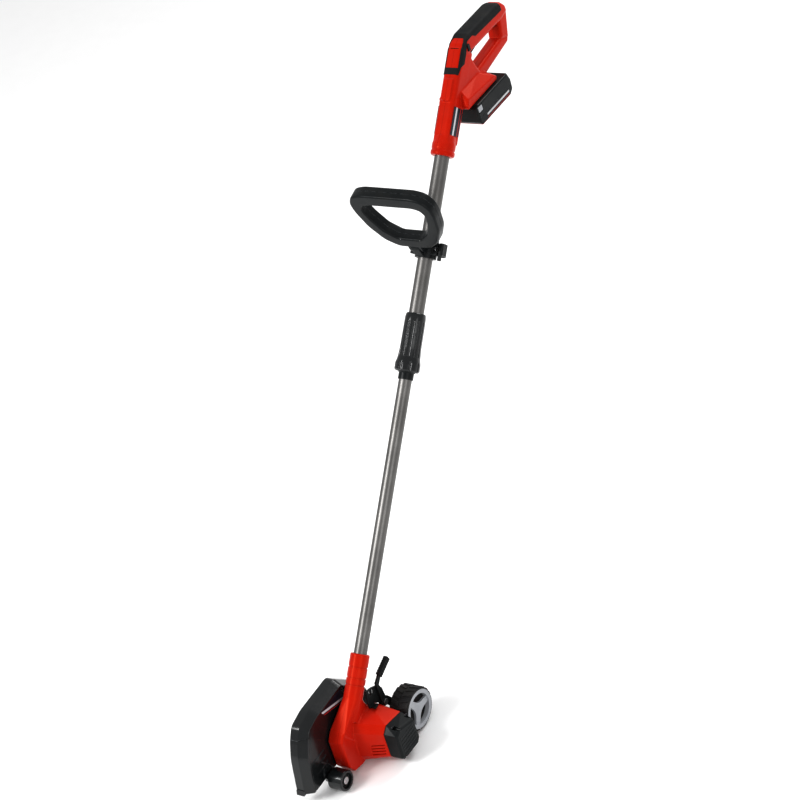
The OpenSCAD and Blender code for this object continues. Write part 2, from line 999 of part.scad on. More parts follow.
module blade_guard() {
    color([0.07, 0.08, 0.09])
        difference() {
            union() {
                difference() {
                    guard_body();
                    front_band(0.3);
                }
                roller_lug();
            }
            rod_x(4, -40, 0, roller_y, roller_z);
        }
}

module guard_deflector() {
    color([0.09, 0.1, 0.11])
        union() {
            intersection() {
                guard_body();
                front_band(0);
            }
            // turned-out lip along the bottom edge
            prism(guard_x0, guard_mid_x, [[-114.8, -20.4], [-108.8, -20.4], [-109, -16], [-111.6, -11]]);
        }
}

module guard_label() {
    color([0.05, 0.06, 0.1])
        prism(guard_x1, guard_x1 + 0.5, [[-19, 80], [34, 64], [42, 76], [36, 91], [-24, 91]]);
}

module guard_screws() {
    color([0.6, 0.6, 0.62])
        for (p = guard_screw_at)
            screw_x(3.6, 1.6, -27.6, -15.5, p[0], p[1]);
}

module guide_roller() {
    r = roller_d / 2;
    color([0.07, 0.08, 0.09])
        difference() {
            translate([0, roller_y, roller_z])
                rotate([0, 90, 0])
                    rotate_extrude()
                        polygon([[4.05, -14], [r - 1.5, -14], [r, -12.5], [r, 12.5], [r - 1.5, 14],
                            [13.5, 14], [12.5, 8], [4.05, 8]]);
            rod_x(12.5, -20, -11, roller_y, roller_z);
        }
}

module roller_bolt() {
    color([0.8, 0.8, 0.82])
        difference() {
            union() {
                rod_x(4, -25, 8.4, roller_y, roller_z);
                rod_x(6.4, 8.3, 12, roller_y, roller_z);
            }
            translate([11, roller_y, roller_z])
                rotate([0, 90, 0])
                    cylinder(r = 2.4, h = 3, $fn = 6);
        }
}

// ---- depth lever and rear wheel ----

lever_outline = [[71.5, 33], [84.5, 33], [82, 60], [78, 72], [89, 81.5], [119, 92.5], [117, 98.5],
    [85.5, 88], [72, 79]];

module depth_lever() {
    color([0.05, 0.05, 0.06])
        difference() {
            union() {
                rod_x(8, 21.2, 25.2, lever_y, lever_z);
                prism(21.2, 25.2, lever_outline);
                prism(21.2, 25.2, [[71, 30], [80, 25], [100.5, -7], [108.5, -12.5], [117, -6],
                    [88, 38], [84, 41]]);
                rod_x(9, 21.2, 25.6, wheel_y, wheel_z);
            }
            rod_x(3.05, 10, 40, lever_y, lever_z);
            rod_x(4, 10, 40, wheel_y, wheel_z);
        }
}

module lever_grip() {
    color([0.04, 0.04, 0.04])
        difference() {
            prism(19.2, 27.2, [[88.5, 79.6], [121.5, 91.5], [118.5, 100.6], [85.5, 89.4]]);
            prism(21.2, 25.2, lever_outline);
            for (i = [0:5])
                for (x = [18.4, 26.6])
                    prism(x, x + 1.4, [[91.5 + i * 4.6, 76], [93 + i * 4.6, 76],
                        [89 + i * 4.6, 102], [87.5 + i * 4.6, 102]]);
        }
}

module lever_pin() {
    color([0.6, 0.6, 0.62]) {
        rod_x(3, 13, 25.6, lever_y, lever_z);
        rod_x(5.5, 25.5, 27.6, lever_y, lever_z);
        rod_x(5, 13, 17, lever_y, lever_z);
    }
}

module wheel_axle() {
    color([0.65, 0.65, 0.67]) {
        rod_x(4, 19, wheel_x + 28, wheel_y, wheel_z);
        rod_x(6.5, 17.6, 21.2, wheel_y, wheel_z);
    }
}

module wheel_hub() {
    x1 = wheel_x + wheel_w;
    r = wheel_d / 2;
    color([0.62, 0.63, 0.65])
        difference() {
            union() {
                ring_x(r - 7, r - 11, wheel_x + 1, x1 - 1, wheel_y, wheel_z);
                ring_x(r - 3.5, r - 11, x1 - 4, x1 - 0.5, wheel_y, wheel_z);
                intersection() {
                    rod_x(r - 8, x1 - 8, x1 - 3, wheel_y, wheel_z);
                    translate([0, wheel_y, wheel_z])
                        for (a = [30, 150, 270])
                            rotate([a, 0, 0])
                                prism(0, 90, [[-14, -8], [14, -8], [7, 12], [4.5, 40], [-4.5, 40],
                                    [-7, 12]]);
                }
                rod_x(8.5, wheel_x, x1 - 5, wheel_y, wheel_z);
            }
            rod_x(4.05, wheel_x - 5, x1 - 9, wheel_y, wheel_z);
        }
}

module wheel_tyre() {
    x1 = wheel_x + wheel_w;
    r = wheel_d / 2;
    pitch = 360 / tread_count;
    color([0.06, 0.06, 0.06])
        difference() {
            translate([wheel_x, wheel_y, wheel_z])
                rotate([0, 90, 0])
                    rotate_extrude($fn = 96)
                        polygon([[r - 7, 0.6], [r - 2.5, 0.6], [r, 4], [r, wheel_w - 4],
                            [r - 1.6, wheel_w - 0.8], [r - 3.5, wheel_w], [r - 3.5, wheel_w - 4],
                            [r - 7, wheel_w - 4]]);
            for (i = [0:tread_count - 1])
                translate([0, wheel_y, wheel_z])
                    rotate([i * pitch, 0, 0])
                        translate([wheel_x + (i % 2 == 0 ? -1 : wheel_w / 2 + 1), -1.4, r - 1.7])
                            cube([wheel_w / 2, 2.8, 6]);
        }
}

rear_housing_left();
rear_housing_right();
grip_overmould();
side_labels();
switch_module();
terminal_block();
handle_screws();
trigger();
trigger_pin();
trigger_spring();
lock_button();
battery_case();
battery_base();
battery_cells();
battery_button_left();
battery_button_right();
upper_tube();
tube_collet();
clamp_sleeve();
aux_loop_upper();
aux_loop_lower();
aux_loop_screws();
aux_clamp_front();
aux_clamp_rear();
aux_clamp_bolt();
clamp_lever();
lower_tube();
motor_lead();
housing_left();
housing_right();
housing_screws();
motor_cover();
cover_screws();
gear_plate();
motor_can();
motor_magnets();
motor_end_bell();
motor_rotor();
motor_fan();
motor_pinion();
drive_gear();
blade_spindle();
spindle_bearings();
blade_flange();
blade();
blade_washer();
blade_nut();
blade_guard();
guard_deflector();
guard_label();
guard_screws();
guide_roller();
roller_bolt();
depth_quadrant();
depth_lever();
lever_grip();
lever_pin();
wheel_axle();
wheel_hub();
wheel_tyre();
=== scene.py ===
"""Battery lawn edger: the finished pieces, their materials, the light and the camera.

Everything is drawn in millimetres in the row frame (X to the motor side, Y to the user, Z up) and
turned into metres when a piece is finished.
"""
import json
import logging
import math
from dataclasses import dataclass, replace
from enum import Enum
from typing import Iterable, Sequence

import bmesh
import bpy
from mathutils import Matrix, Quaternion, Vector


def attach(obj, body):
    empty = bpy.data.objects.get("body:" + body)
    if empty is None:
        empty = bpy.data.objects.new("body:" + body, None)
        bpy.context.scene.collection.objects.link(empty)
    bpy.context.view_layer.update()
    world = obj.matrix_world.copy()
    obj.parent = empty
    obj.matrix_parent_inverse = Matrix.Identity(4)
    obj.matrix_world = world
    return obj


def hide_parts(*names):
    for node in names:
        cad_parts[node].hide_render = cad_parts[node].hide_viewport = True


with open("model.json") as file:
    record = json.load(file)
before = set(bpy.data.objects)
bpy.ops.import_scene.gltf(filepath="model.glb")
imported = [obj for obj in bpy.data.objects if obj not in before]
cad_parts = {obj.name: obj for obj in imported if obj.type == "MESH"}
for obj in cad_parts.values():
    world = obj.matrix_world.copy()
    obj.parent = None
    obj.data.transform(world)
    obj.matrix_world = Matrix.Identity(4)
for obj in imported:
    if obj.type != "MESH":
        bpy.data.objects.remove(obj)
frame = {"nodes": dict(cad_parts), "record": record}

LOG = logging.getLogger("lawn_edger")
MM = 0.001
Colour = tuple[float, float, float]
Outline = Sequence[tuple[float, float]]
Ring = list[Vector]

SHAFT_LEAN = -45.0
SHAFT_FRONT = 28.7
TO_THE_LEFT = Matrix.Rotation(math.pi, 4, "Z")
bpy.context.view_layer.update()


# ---------------------------------------------------------------- outlines and places

def on_shaft(height: float) -> Matrix:
    """Place of a drawing whose Z runs up the leaning shaft, a height above the blade's level."""
    return Matrix.Rotation(math.radians(SHAFT_LEAN), 4, "X") @ Matrix.Translation((0, -SHAFT_FRONT, height))


def about_x(y: float, z: float, x: float = 0.0) -> Matrix:
    """Place of a drawing whose local Z runs along +X through a Y-Z point."""
    return Matrix.Translation((x, y, z)) @ Matrix.Rotation(math.radians(90), 4, "Y")


def circle(steps: int, radius: float = 1.0) -> Outline:
    """Points evenly round a circle."""
    angles = [math.tau * i / steps for i in range(steps)]
    return [(radius * math.cos(a), radius * math.sin(a)) for a in angles]


def corners(xs: Sequence[float], ys: Sequence[float], zs: Sequence[float], place: Matrix) -> Ring:
    """Every meeting of these X, Y and Z values, moved to a place."""
    return [place @ Vector((x, y, z)) for x in xs for y in ys for z in zs]


def inset(outline: Outline, depth: float) -> Outline:
    """Moves every side of a counter-clockwise outline inwards, keeping its corners mitred.

    Args:
        outline: corners in order.
        depth: distance in millimetres; negative grows the outline.

    Returns:
        The new corners, as many as before.
    """
    moved = []
    for i, corner in enumerate(outline):
        a, b, c = Vector(outline[i - 1]), Vector(corner), Vector(outline[(i + 1) % len(outline)])
        u, v = (b - a).normalized(), (c - b).normalized()
        m, n = Vector((-u.y, u.x)), Vector((-v.y, v.x))
        moved.append(tuple(b + (m + n) * (depth / (1 + m.dot(n)))))
    return moved


def rounded(outline: Outline, radius: float, steps: int = 5) -> Outline:
    """Rounds the corners of an outline with short curves.

    Args:
        outline: corners in order.
        radius: how far along each side a curve starts.
        steps: segments in each curve.

    Returns:
        The points of the rounded outline.
    """
    points = []
    for i, corner in enumerate(outline):
        a, b, c = Vector(outline[i - 1]), Vector(corner), Vector(outline[(i + 1) % len(outline)])
        start = b + (a - b).normalized() * min(radius, 0.45 * (a - b).length)
        stop = b + (c - b).normalized() * min(radius, 0.45 * (c - b).length)
        for k in range(steps + 1):
            t = k / steps
            points.append(tuple(start * (1 - t) ** 2 + b * (2 * t * (1 - t)) + stop * t * t))
    return points


def resampled(outline: Outline, count: int) -> Outline:
    """Spaces a closed outline evenly, from the point nearest below its middle.

    Args:
        outline: points in order.
        count: points wanted.

    Returns:
        Evenly spaced points.
    """
    first = min(range(len(outline)), key=lambda i: outline[i][1] + abs(outline[i][0]) * 0.2)
    path = [Vector(p) for p in outline[first:] + outline[:first + 1]]
    lengths = [0.0]
    for a, b in zip(path, path[1:]):
        lengths.append(lengths[-1] + (b - a).length)
    points, k = [], 0
    for i in range(count):
        want = lengths[-1] * i / count
        while lengths[k + 1] < want:
            k += 1
        share = (want - lengths[k]) / max(lengths[k + 1] - lengths[k], 1e-9)
        points.append(tuple(path[k].lerp(path[k + 1], share)))
    return points


def side_view(outline: Outline, x: float) -> Ring:
    """Stands a Y-Z outline at one X."""
    return [Vector((x, y, z)) for y, z in outline]


# ---------------------------------------------------------------- mesh building

def placed(name: str, data: bpy.types.ID) -> bpy.types.Object:
    """Puts an object with this data in the scene."""
    made = bpy.data.objects.new(name, data)
    bpy.context.scene.collection.objects.link(made)
    return made


def ended(name: str, shape: bmesh.types.BMesh) -> bpy.types.Object:
    """Ends a mesh under construction as an object in the scene.

    Args:
        name: name of the object and its mesh.
        shape: the mesh; it is used up.

    Returns:
        The object.
    """
    data = bpy.data.meshes.new(name)
    shape.to_mesh(data)
    shape.free()
    return placed(name, data)


class Form:
    """A mesh under construction, drawn in millimetres."""

    def __init__(self) -> None:
        """Starts empty."""
        self.mesh = bmesh.new()

    def loft(self, rings: Sequence[Ring], capped: bool = True, closed: bool = False) -> None:
        """Joins rings of the same number of points with quads.

        Args:
            rings: the rings in order.
            capped: closes the first and last ring with a face.
            closed: joins the last ring to the first.
        """
        rows = [[self.mesh.verts.new(p) for p in ring] for ring in rings]
        pairs = list(zip(rows, rows[1:])) + ([(rows[-1], rows[0])] if closed else [])
        for low, high in pairs:
            for i in range(len(low)):
                j = (i + 1) % len(low)
                self.mesh.faces.new((low[i], low[j], high[j], high[i]))
        if capped and not closed:
            self.mesh.faces.new(list(reversed(rows[0])))
            self.mesh.faces.new(rows[-1])

    def hull(self, points: Iterable[Vector]) -> None:
        """Adds the convex skin round some points.

        Args:
            points: the points, of which only the outer ones are kept.
        """
        part = bmesh.new()
        for point in points:
            part.verts.new(point)
        found = bmesh.ops.convex_hull(part, input=part.verts)
        spare = [g for g in found["geom_interior"] + found["geom_unused"]
                 if isinstance(g, bmesh.types.BMVert) and g.is_valid and not g.link_faces]
        bmesh.ops.delete(part, geom=list(set(spare)), context="VERTS")
        self._take(part)

    def bar(self, outline: Outline, x0: float, x1: float, radius: float) -> None:
        """Adds a convex bar seen from the side, its long edges rounded.

        Args:
            outline: Y-Z outline.
            x0: low X.
            x1: high X.
            radius: rounding of the edges.
        """
        points: list[Vector] = []
        for k in range(5):
            angle = math.radians(22.5 * k)
            ring = inset(outline, radius * (1 - math.sin(angle)))
            reach = radius * (1 - math.cos(angle))
            points += side_view(ring, x0 + reach) + side_view(ring, x1 - reach)
        self.hull(points)

    def prism(self, outline: Outline, x0: float, x1: float) -> None:
        """Adds a straight prism with a Y-Z outline."""
        self.loft([side_view(outline, x0), side_view(outline, x1)])

    def box(self, low: Sequence[float], high: Sequence[float], place: Matrix | None = None) -> None:
        """Adds a box between two corners, moved to a place."""
        self.hull(corners(*zip(low, high), place or Matrix()))

    def turned(self, profile: Outline, place: Matrix, steps: int = 72) -> None:
        """Adds a turned shape.

        Args:
            profile: radius and height pairs; a profile that starts and ends on the axis is solid,
                and any other one is closed round as a ring.
            place: matrix that stands local Z on the turning axis.
            steps: facets round the axis.
        """
        solid = profile[0][0] < 1e-6 and profile[-1][0] < 1e-6
        rows = profile[1:-1] if solid else profile
        rings = [[place @ Vector((r * x, r * y, h)) for x, y in circle(steps)] for r, h in rows]
        self.loft(rings, capped=solid, closed=not solid)

    def rod(self, radius: float, low: float, high: float, place: Matrix, steps: int = 28) -> None:
        """Adds a plain round bar between two heights of a place."""
        self.turned([(0, low), (radius, low), (radius, high), (0, high)], place, steps)

    def _take(self, part: bmesh.types.BMesh) -> None:
        """Copies another mesh in."""
        data = bpy.data.meshes.new("part")
        part.to_mesh(data)
        part.free()
        self.mesh.from_mesh(data)
        bpy.data.meshes.remove(data)

    def piece(self, name: str) -> bpy.types.Object:
        """Ends the drawing as an object in metres, with its faces outwards.

        Args:
            name: name of the object.

        Returns:
            The object.
        """
        bmesh.ops.recalc_face_normals(self.mesh, faces=self.mesh.faces)
        made = ended(name, self.mesh)
        made.data.transform(Matrix.Scale(MM, 4))
        return made


def settle(made: bpy.types.Object) -> bpy.types.Object:
    """Applies every modifier of an object to its mesh.

    Args:
        made: the object.

    Returns:
        The same object with its new mesh.
    """
    graph = bpy.context.evaluated_depsgraph_get()
    graph.update()
    data = bpy.data.meshes.new_from_object(made.evaluated_get(graph))
    old = made.data
    made.modifiers.clear()
    made.data = data
    bpy.data.meshes.remove(old)
    return made


def fused(made: bpy.types.Object, voxel: float, rounds: int) -> bpy.types.Object:
    """Melts overlapping shapes into one moulded skin with soft edges.

    Args:
        made: object of closed shapes.
        voxel: size of the new faces in millimetres.
        rounds: smoothing passes.

    Returns:
        The same object with its new mesh.
    """
    melt = made.modifiers.new("melt", "REMESH")
    melt.mode = "VOXEL"
    melt.voxel_size = voxel * MM
    soft = made.modifiers.new("soft", "SMOOTH")
    soft.factor = 0.5
    soft.iterations = rounds
    return settle(made)


class Cut(Enum):
    """What a cutting shape does."""

    AWAY = "DIFFERENCE"
    KEEP = "INTERSECT"


def carved(made: bpy.types.Object, tool: Form | bpy.types.Object, how: Cut = Cut.AWAY) -> bpy.types.Object:
    """Cuts an object with a shape.

    Args:
        made: object to cut.
        tool: the cutting shape, drawn or finished; it is used up.
        how: takes the shape away, or keeps only what is in it.

    Returns:
        The same object, cut.
    """
    cutter = tool.piece("cutter") if isinstance(tool, Form) else tool
    knife = made.modifiers.new("cut", "BOOLEAN")
    knife.operation = how.value
    knife.solver = "MANIFOLD"
    knife.object = cutter
    settle(made)
    bpy.data.objects.remove(cutter)
    return made


def edged(made: bpy.types.Object, width: float, segments: int, angle: float = 30) -> bpy.types.Object:
    """Breaks the sharp edges of an object with a small round.

    Args:
        made: the object.
        width: width of the round in millimetres; zero leaves the edges.
        segments: faces across the round.
        angle: edges flatter than this stay as they are.

    Returns:
        The same object.
    """
    if width > 0:
        bevel = made.modifiers.new("edge", "BEVEL")
        bevel.width = width * MM
        bevel.segments = segments
        bevel.limit_method = "ANGLE"
        bevel.angle_limit = math.radians(angle)
        bevel.use_clamp_overlap = False
        settle(made)
    return made


def joined(name: str, parts: Sequence[bpy.types.Object]) -> bpy.types.Object:
    """Puts several objects of the same body in one object.

    Args:
        name: name of the new object.
        parts: the objects; they are used up.

    Returns:
        The new object.
    """
    whole = bmesh.new()
    for part in parts:
        whole.from_mesh(part.data)
        bpy.data.objects.remove(part)
    return ended(name, whole)


# ---------------------------------------------------------------- geometry nodes

class Socket(Enum):
    """Kinds of node socket that the trees use."""

    COUNT = "NodeSocketInt"
    SIZE = "NodeSocketFloat"
    VECTOR = "NodeSocketVector"
    COLOUR = "NodeSocketColor"
    PART = "NodeSocketObject"
    FINISH = "NodeSocketMaterial"
    SHAPE = "NodeSocketGeometry"


class Wiring:
    """Adds nodes to a tree and feeds them with sockets or plain values."""

    def __init__(self, tree: bpy.types.NodeTree) -> None:
        """Works on one tree."""
        self.tree = tree

    def feed(self, node: bpy.types.Node, values: dict[int | str, object]) -> None:
        """Fills a node's inputs, by name or number.

        Args:
            node: the node.
            values: an input's name or number and its value; a socket is linked.
        """
        for key, value in values.items():
            socket = node.inputs[key]
            if isinstance(value, bpy.types.NodeSocket):
                self.tree.links.new(value, socket)
            else:
                socket.default_value = (*value, 1.0) if socket.type == "RGBA" else value

    def node(self, kind: str, *feeds: object, **settings: object) -> bpy.types.Node:
        """Adds a node.

        Args:
            kind: its type.
            feeds: sockets or values of its first inputs, in order.
            settings: its own settings.

        Returns:
            The node.
        """
        made = self.tree.nodes.new(kind)
        for key, value in settings.items():
            setattr(made, key, value)
        self.feed(made, dict(enumerate(feeds)))
        return made

    def maths(self, operation: str, *feeds: object) -> bpy.types.NodeSocket:
        """Adds a calculation with numbers and returns its result."""
        return self.node("ShaderNodeMath", *feeds, operation=operation).outputs[0]

    def mixed(self, share: bpy.types.NodeSocket, a: object, b: object) -> bpy.types.NodeSocket:
        """Adds a mix of two colours.

        Args:
            share: how much of the second colour shows, from 0 to 1.
            a: first colour, a socket or plain values.
            b: second colour, a socket or plain values.

        Returns:
            The mixed colour.
        """
        node = self.node("ShaderNodeMix", share, data_type="RGBA")
        first, second = [i for i, s in enumerate(node.inputs) if s.type == "RGBA"]
        self.feed(node, {first: a, second: b})
        return [s for s in node.outputs if s.type == "RGBA"][0]


class Tree(Wiring):
    """A node group under construction, with named inputs and outputs."""

    def __init__(self, name: str, kind: str, takes: dict[str, Socket], gives: dict[str, Socket]) -> None:
        """Makes a group that has only its inputs and outputs.

        Args:
            name: name of the group.
            kind: kind of tree, such as GeometryNodeTree.
            takes: its inputs.
            gives: its outputs.
        """
        super().__init__(bpy.data.node_groups.new(name, kind))
        self.inputs = self.node("NodeGroupInput")
        self.outputs = self.node("NodeGroupOutput")
        self.names = {label: self._socket(label, sort, "INPUT") for label, sort in takes.items()}
        for label, sort in gives.items():
            self._socket(label, sort, "OUTPUT")

    def _socket(self, label: str, sort: Socket, side: str) -> str:
        """Adds a named input or output and returns its identifier."""
        return self.tree.interface.new_socket(name=label, in_out=side, socket_type=sort.value).identifier

    def given(self, name: str) -> bpy.types.NodeSocket:
        """The socket that carries a named input."""
        return self.inputs.outputs[name]

    def give(self, **results: bpy.types.NodeSocket) -> bpy.types.NodeTree:
        """Links the outputs by name and returns the finished group."""
        self.feed(self.outputs, results)
        return self.tree


class Pattern(Enum):
    """Where a repeater sets its copies."""

    ROW = "row"
    ROUND = "round"
    POINTS = "points"


class Repeater:
    """A Geometry Nodes tree that sets copies of a part in a row, round an axis or at points."""

    def __init__(self, pattern: Pattern) -> None:
        """Builds the tree for a pattern."""
        takes = {"Carrier": Socket.SHAPE, "Part": Socket.PART, "Count": Socket.COUNT, "Step": Socket.VECTOR,
                 "Scatter": Socket.SIZE, "Seed": Socket.COUNT, "Turn": Socket.VECTOR,
                 "Place": Socket.VECTOR, "Finish": Socket.FINISH}
        t = Tree("copies_" + pattern.value, "GeometryNodeTree", takes, {"Copies": Socket.SHAPE})
        self.names = t.names
        info = t.node("GeometryNodeObjectInfo", t.given("Part"), transform_space="ORIGINAL")
        chance = t.node("FunctionNodeRandomValue", data_type="FLOAT")
        least, most = [i for i, s in enumerate(chance.inputs) if s.type == "VALUE" and s.enabled][:2]
        t.feed(chance, {"Seed": t.given("Seed"), least: -1.0, most: 1.0})
        drawn = [s for s in chance.outputs if s.enabled][0]
        turn = t.node("ShaderNodeCombineXYZ", t.maths("MULTIPLY", drawn, t.given("Scatter"))).outputs[0]
        spots = t.given("Carrier")
        if pattern is not Pattern.POINTS:
            index = t.node("GeometryNodeInputIndex").outputs[0]
            along = t.node("ShaderNodeVectorMath", t.given("Step"), operation="SCALE")
            t.feed(along, {"Scale": index})
            points = t.node("GeometryNodePoints", t.given("Count"))
            spots = points.outputs[0]
            if pattern is Pattern.ROW:
                t.feed(points, {"Position": along.outputs[0]})
            else:
                turn = t.node("ShaderNodeVectorMath", along.outputs[0], turn, operation="ADD").outputs[0]
        copies = t.node("GeometryNodeInstanceOnPoints")
        t.feed(copies, {"Points": spots, "Instance": info.outputs["Geometry"], "Rotation": turn})
        real = t.node("GeometryNodeRealizeInstances", copies.outputs[0])
        move = t.node("GeometryNodeTransform", real.outputs[0])
        t.feed(move, {"Rotation": t.given("Turn"), "Translation": t.given("Place")})
        paint = t.node("GeometryNodeSetMaterial", move.outputs[0])
        t.feed(paint, {"Material": t.given("Finish")})
        self.tree = t.give(Copies=paint.outputs[0])

    def make(self, name: str, part: bpy.types.Object, finish: bpy.types.Material, place: Matrix,
             count: int = 1, step: Sequence[float] = (0, 0, 0), scatter: float = 0.0, seed: int = 1,
             points: Sequence[Sequence[float]] = ((0, 0, 0),)) -> bpy.types.Object:
        """Bakes the copies into one plain mesh.

        Args:
            name: name of the new piece.
            part: the object that is copied; it is used up.
            finish: its material.
            place: where the pattern's own frame stands in the row frame, in millimetres.
            count: number of copies in a row or round the axis.
            step: move in metres, or turn in radians, from one copy to the next.
            scatter: largest random turn of a copy about X, in radians.
            seed: fixed seed of that turn.
            points: places of the copies in the row frame, in millimetres, for the POINTS pattern.

        Returns:
            The new object.
        """
        back = place.inverted()
        data = bpy.data.meshes.new(name)
        data.from_pydata([(back @ Vector(p)) * MM for p in points], [], [])
        made = placed(name, data)
        run = made.modifiers.new("copies", "NODES")
        run.node_group = self.tree
        values = {"Part": part, "Count": count, "Step": tuple(step), "Scatter": scatter, "Seed": seed,
                  "Turn": tuple(place.to_euler()), "Place": tuple(place.to_translation() * MM),
                  "Finish": finish}
        for key, value in values.items():
            run[self.names[key]] = value
        settle(made)
        bpy.data.objects.remove(part)
        return made


# ---------------------------------------------------------------- shader groups

class ShaderKit:
    """Shader node groups that several materials share, each built once."""

    def __init__(self) -> None:
        """Builds the groups."""
        self.grain = self._grain()
        self.wear_and_highlight = self._wear_and_highlight()
        self.brushed = self._brushed()
        self.dust = self._dust()
        self.line = self._line()

    @staticmethod
    def _group(name: str, takes: str, colours: str, vectors: str, gives: str) -> Tree:
        """Starts a shader group.

        Args:
            name: name of the group.
            takes: names of its inputs, apart by commas.
            colours: those of its inputs and outputs that are colours.
            vectors: those that are vectors; every other one is a number.
            gives: names of its outputs.

        Returns:
            The group, with its inputs and outputs.
        """
        sorts = {**dict.fromkeys(colours.split(", "), Socket.COLOUR),
                 **dict.fromkeys(vectors.split(", "), Socket.VECTOR)}
        sides = [{n: sorts.get(n, Socket.SIZE) for n in names.split(", ")} for names in (takes, gives)]
        return Tree(name, "ShaderNodeTree", *sides)

    @staticmethod
    def _noise(t: Tree, scale: float | bpy.types.NodeSocket, detail: float,
               source: bpy.types.NodeSocket | None = None) -> bpy.types.NodeSocket:
        """Adds a noise.

        Args:
            t: the group.
            scale: its scale, a number or a socket.
            detail: its finest layers.
            source: what it reads, if it isn't the group's coordinates.

        Returns:
            Its value.
        """
        noise = t.node("ShaderNodeTexNoise")
        t.feed(noise, {"Detail": detail, "Scale": scale,
                       "Vector": t.given("Coordinates") if source is None else source})
        return noise.outputs[0]

    @staticmethod
    def _span(t: Tree, source: bpy.types.NodeSocket, low: float, high: float) -> bpy.types.NodeSocket:
        """Adds a clamped map of a range to 0 and 1.

        Args:
            t: the group.
            source: the value.
            low: value that becomes 0.
            high: value that becomes 1.

        Returns:
            The mapped value.
        """
        node = t.node("ShaderNodeMapRange")
        t.feed(node, {"Value": source, "From Min": low, "From Max": high})
        return node.outputs[0]

    def _grain(self) -> bpy.types.NodeTree:
        """Moulded skin: cloudy colour, uneven gloss and a fine texture."""
        t = self._group("moulded_grain", "Coordinates, Colour, Shade, Grain, Roughness, Spread",
                        "Colour, Shade", "Coordinates", "Colour, Roughness, Height")
        cloud = self._span(t, self._noise(t, 22.0, 3.0), 0.35, 0.75)
        patch = t.maths("SUBTRACT", self._noise(t, 60.0, 5.0), 0.5)
        return t.give(Colour=t.mixed(cloud, t.given("Colour"), t.given("Shade")),
                      Roughness=t.maths("MULTIPLY_ADD", patch, t.given("Spread"), t.given("Roughness")),
                      Height=self._noise(t, t.given("Grain"), 2.0))

    def _wear_and_highlight(self) -> bpy.types.NodeTree:
        """Rubbed edges and painted edge highlights: a paler colour where a rounded normal leaves the true
        one.
        """
        t = self._group("edge_wear_and_highlight", "Coordinates, Colour, Worn, Amount", "Colour, Worn", "Coordinates",
                        "Colour, Mask")
        true = t.node("ShaderNodeNewGeometry").outputs["Normal"]
        soft = t.node("ShaderNodeBevel", 0.7 * MM, samples=4)
        along = t.node("ShaderNodeVectorMath", true, soft.outputs[0], operation="DOT_PRODUCT")
        edge = self._span(t, along.outputs["Value"], 0.985, 0.88)
        broken = self._span(t, self._noise(t, 140.0, 4.0), 0.38, 0.62)
        mask = t.maths("MULTIPLY", t.maths("MULTIPLY", edge, broken), t.given("Amount"))
        return t.give(Mask=mask, Colour=t.mixed(mask, t.given("Colour"), t.given("Worn")))

    def _brushed(self) -> bpy.types.NodeTree:
        """Drawn or turned metal: long fine lines in gloss and height."""
        t = self._group("brushed_lines", "Coordinates, Fineness, Roughness, Spread", "",
                        "Coordinates, Fineness", "Roughness, Height")
        stretch = t.node("ShaderNodeVectorMath", t.given("Coordinates"), t.given("Fineness"),
                         operation="MULTIPLY")
        lines = self._noise(t, 1.0, 4.0, stretch.outputs[0])
        return t.give(Roughness=t.maths("MULTIPLY_ADD", lines, t.given("Spread"), t.given("Roughness")),
                      Height=lines)

    def _dust(self) -> bpy.types.NodeTree:
        """A thin patchy film of garden dust."""
        t = self._group("garden_dust", "Coordinates, Colour, Dust, Amount", "Colour, Dust", "Coordinates",
                        "Colour")
        patch = self._span(t, self._noise(t, 34.0, 6.0), 0.45, 0.85)
        amount = t.maths("MULTIPLY", patch, t.given("Amount"))
        return t.give(Colour=t.mixed(amount, t.given("Colour"), t.given("Dust")))

    def _line(self) -> bpy.types.NodeTree:
        """A band where one coordinate is close to a level; it draws thin parting lines, printed stripes and a
        wide band of painted shade.
        """
        t = self._group("level_band", "Value, Level, Half width", "", "", "Mask")
        off = t.maths("ABSOLUTE", t.maths("SUBTRACT", t.given("Value"), t.given("Level")))
        return t.give(Mask=t.maths("LESS_THAN", off, t.given("Half width")))


KIT = ShaderKit()


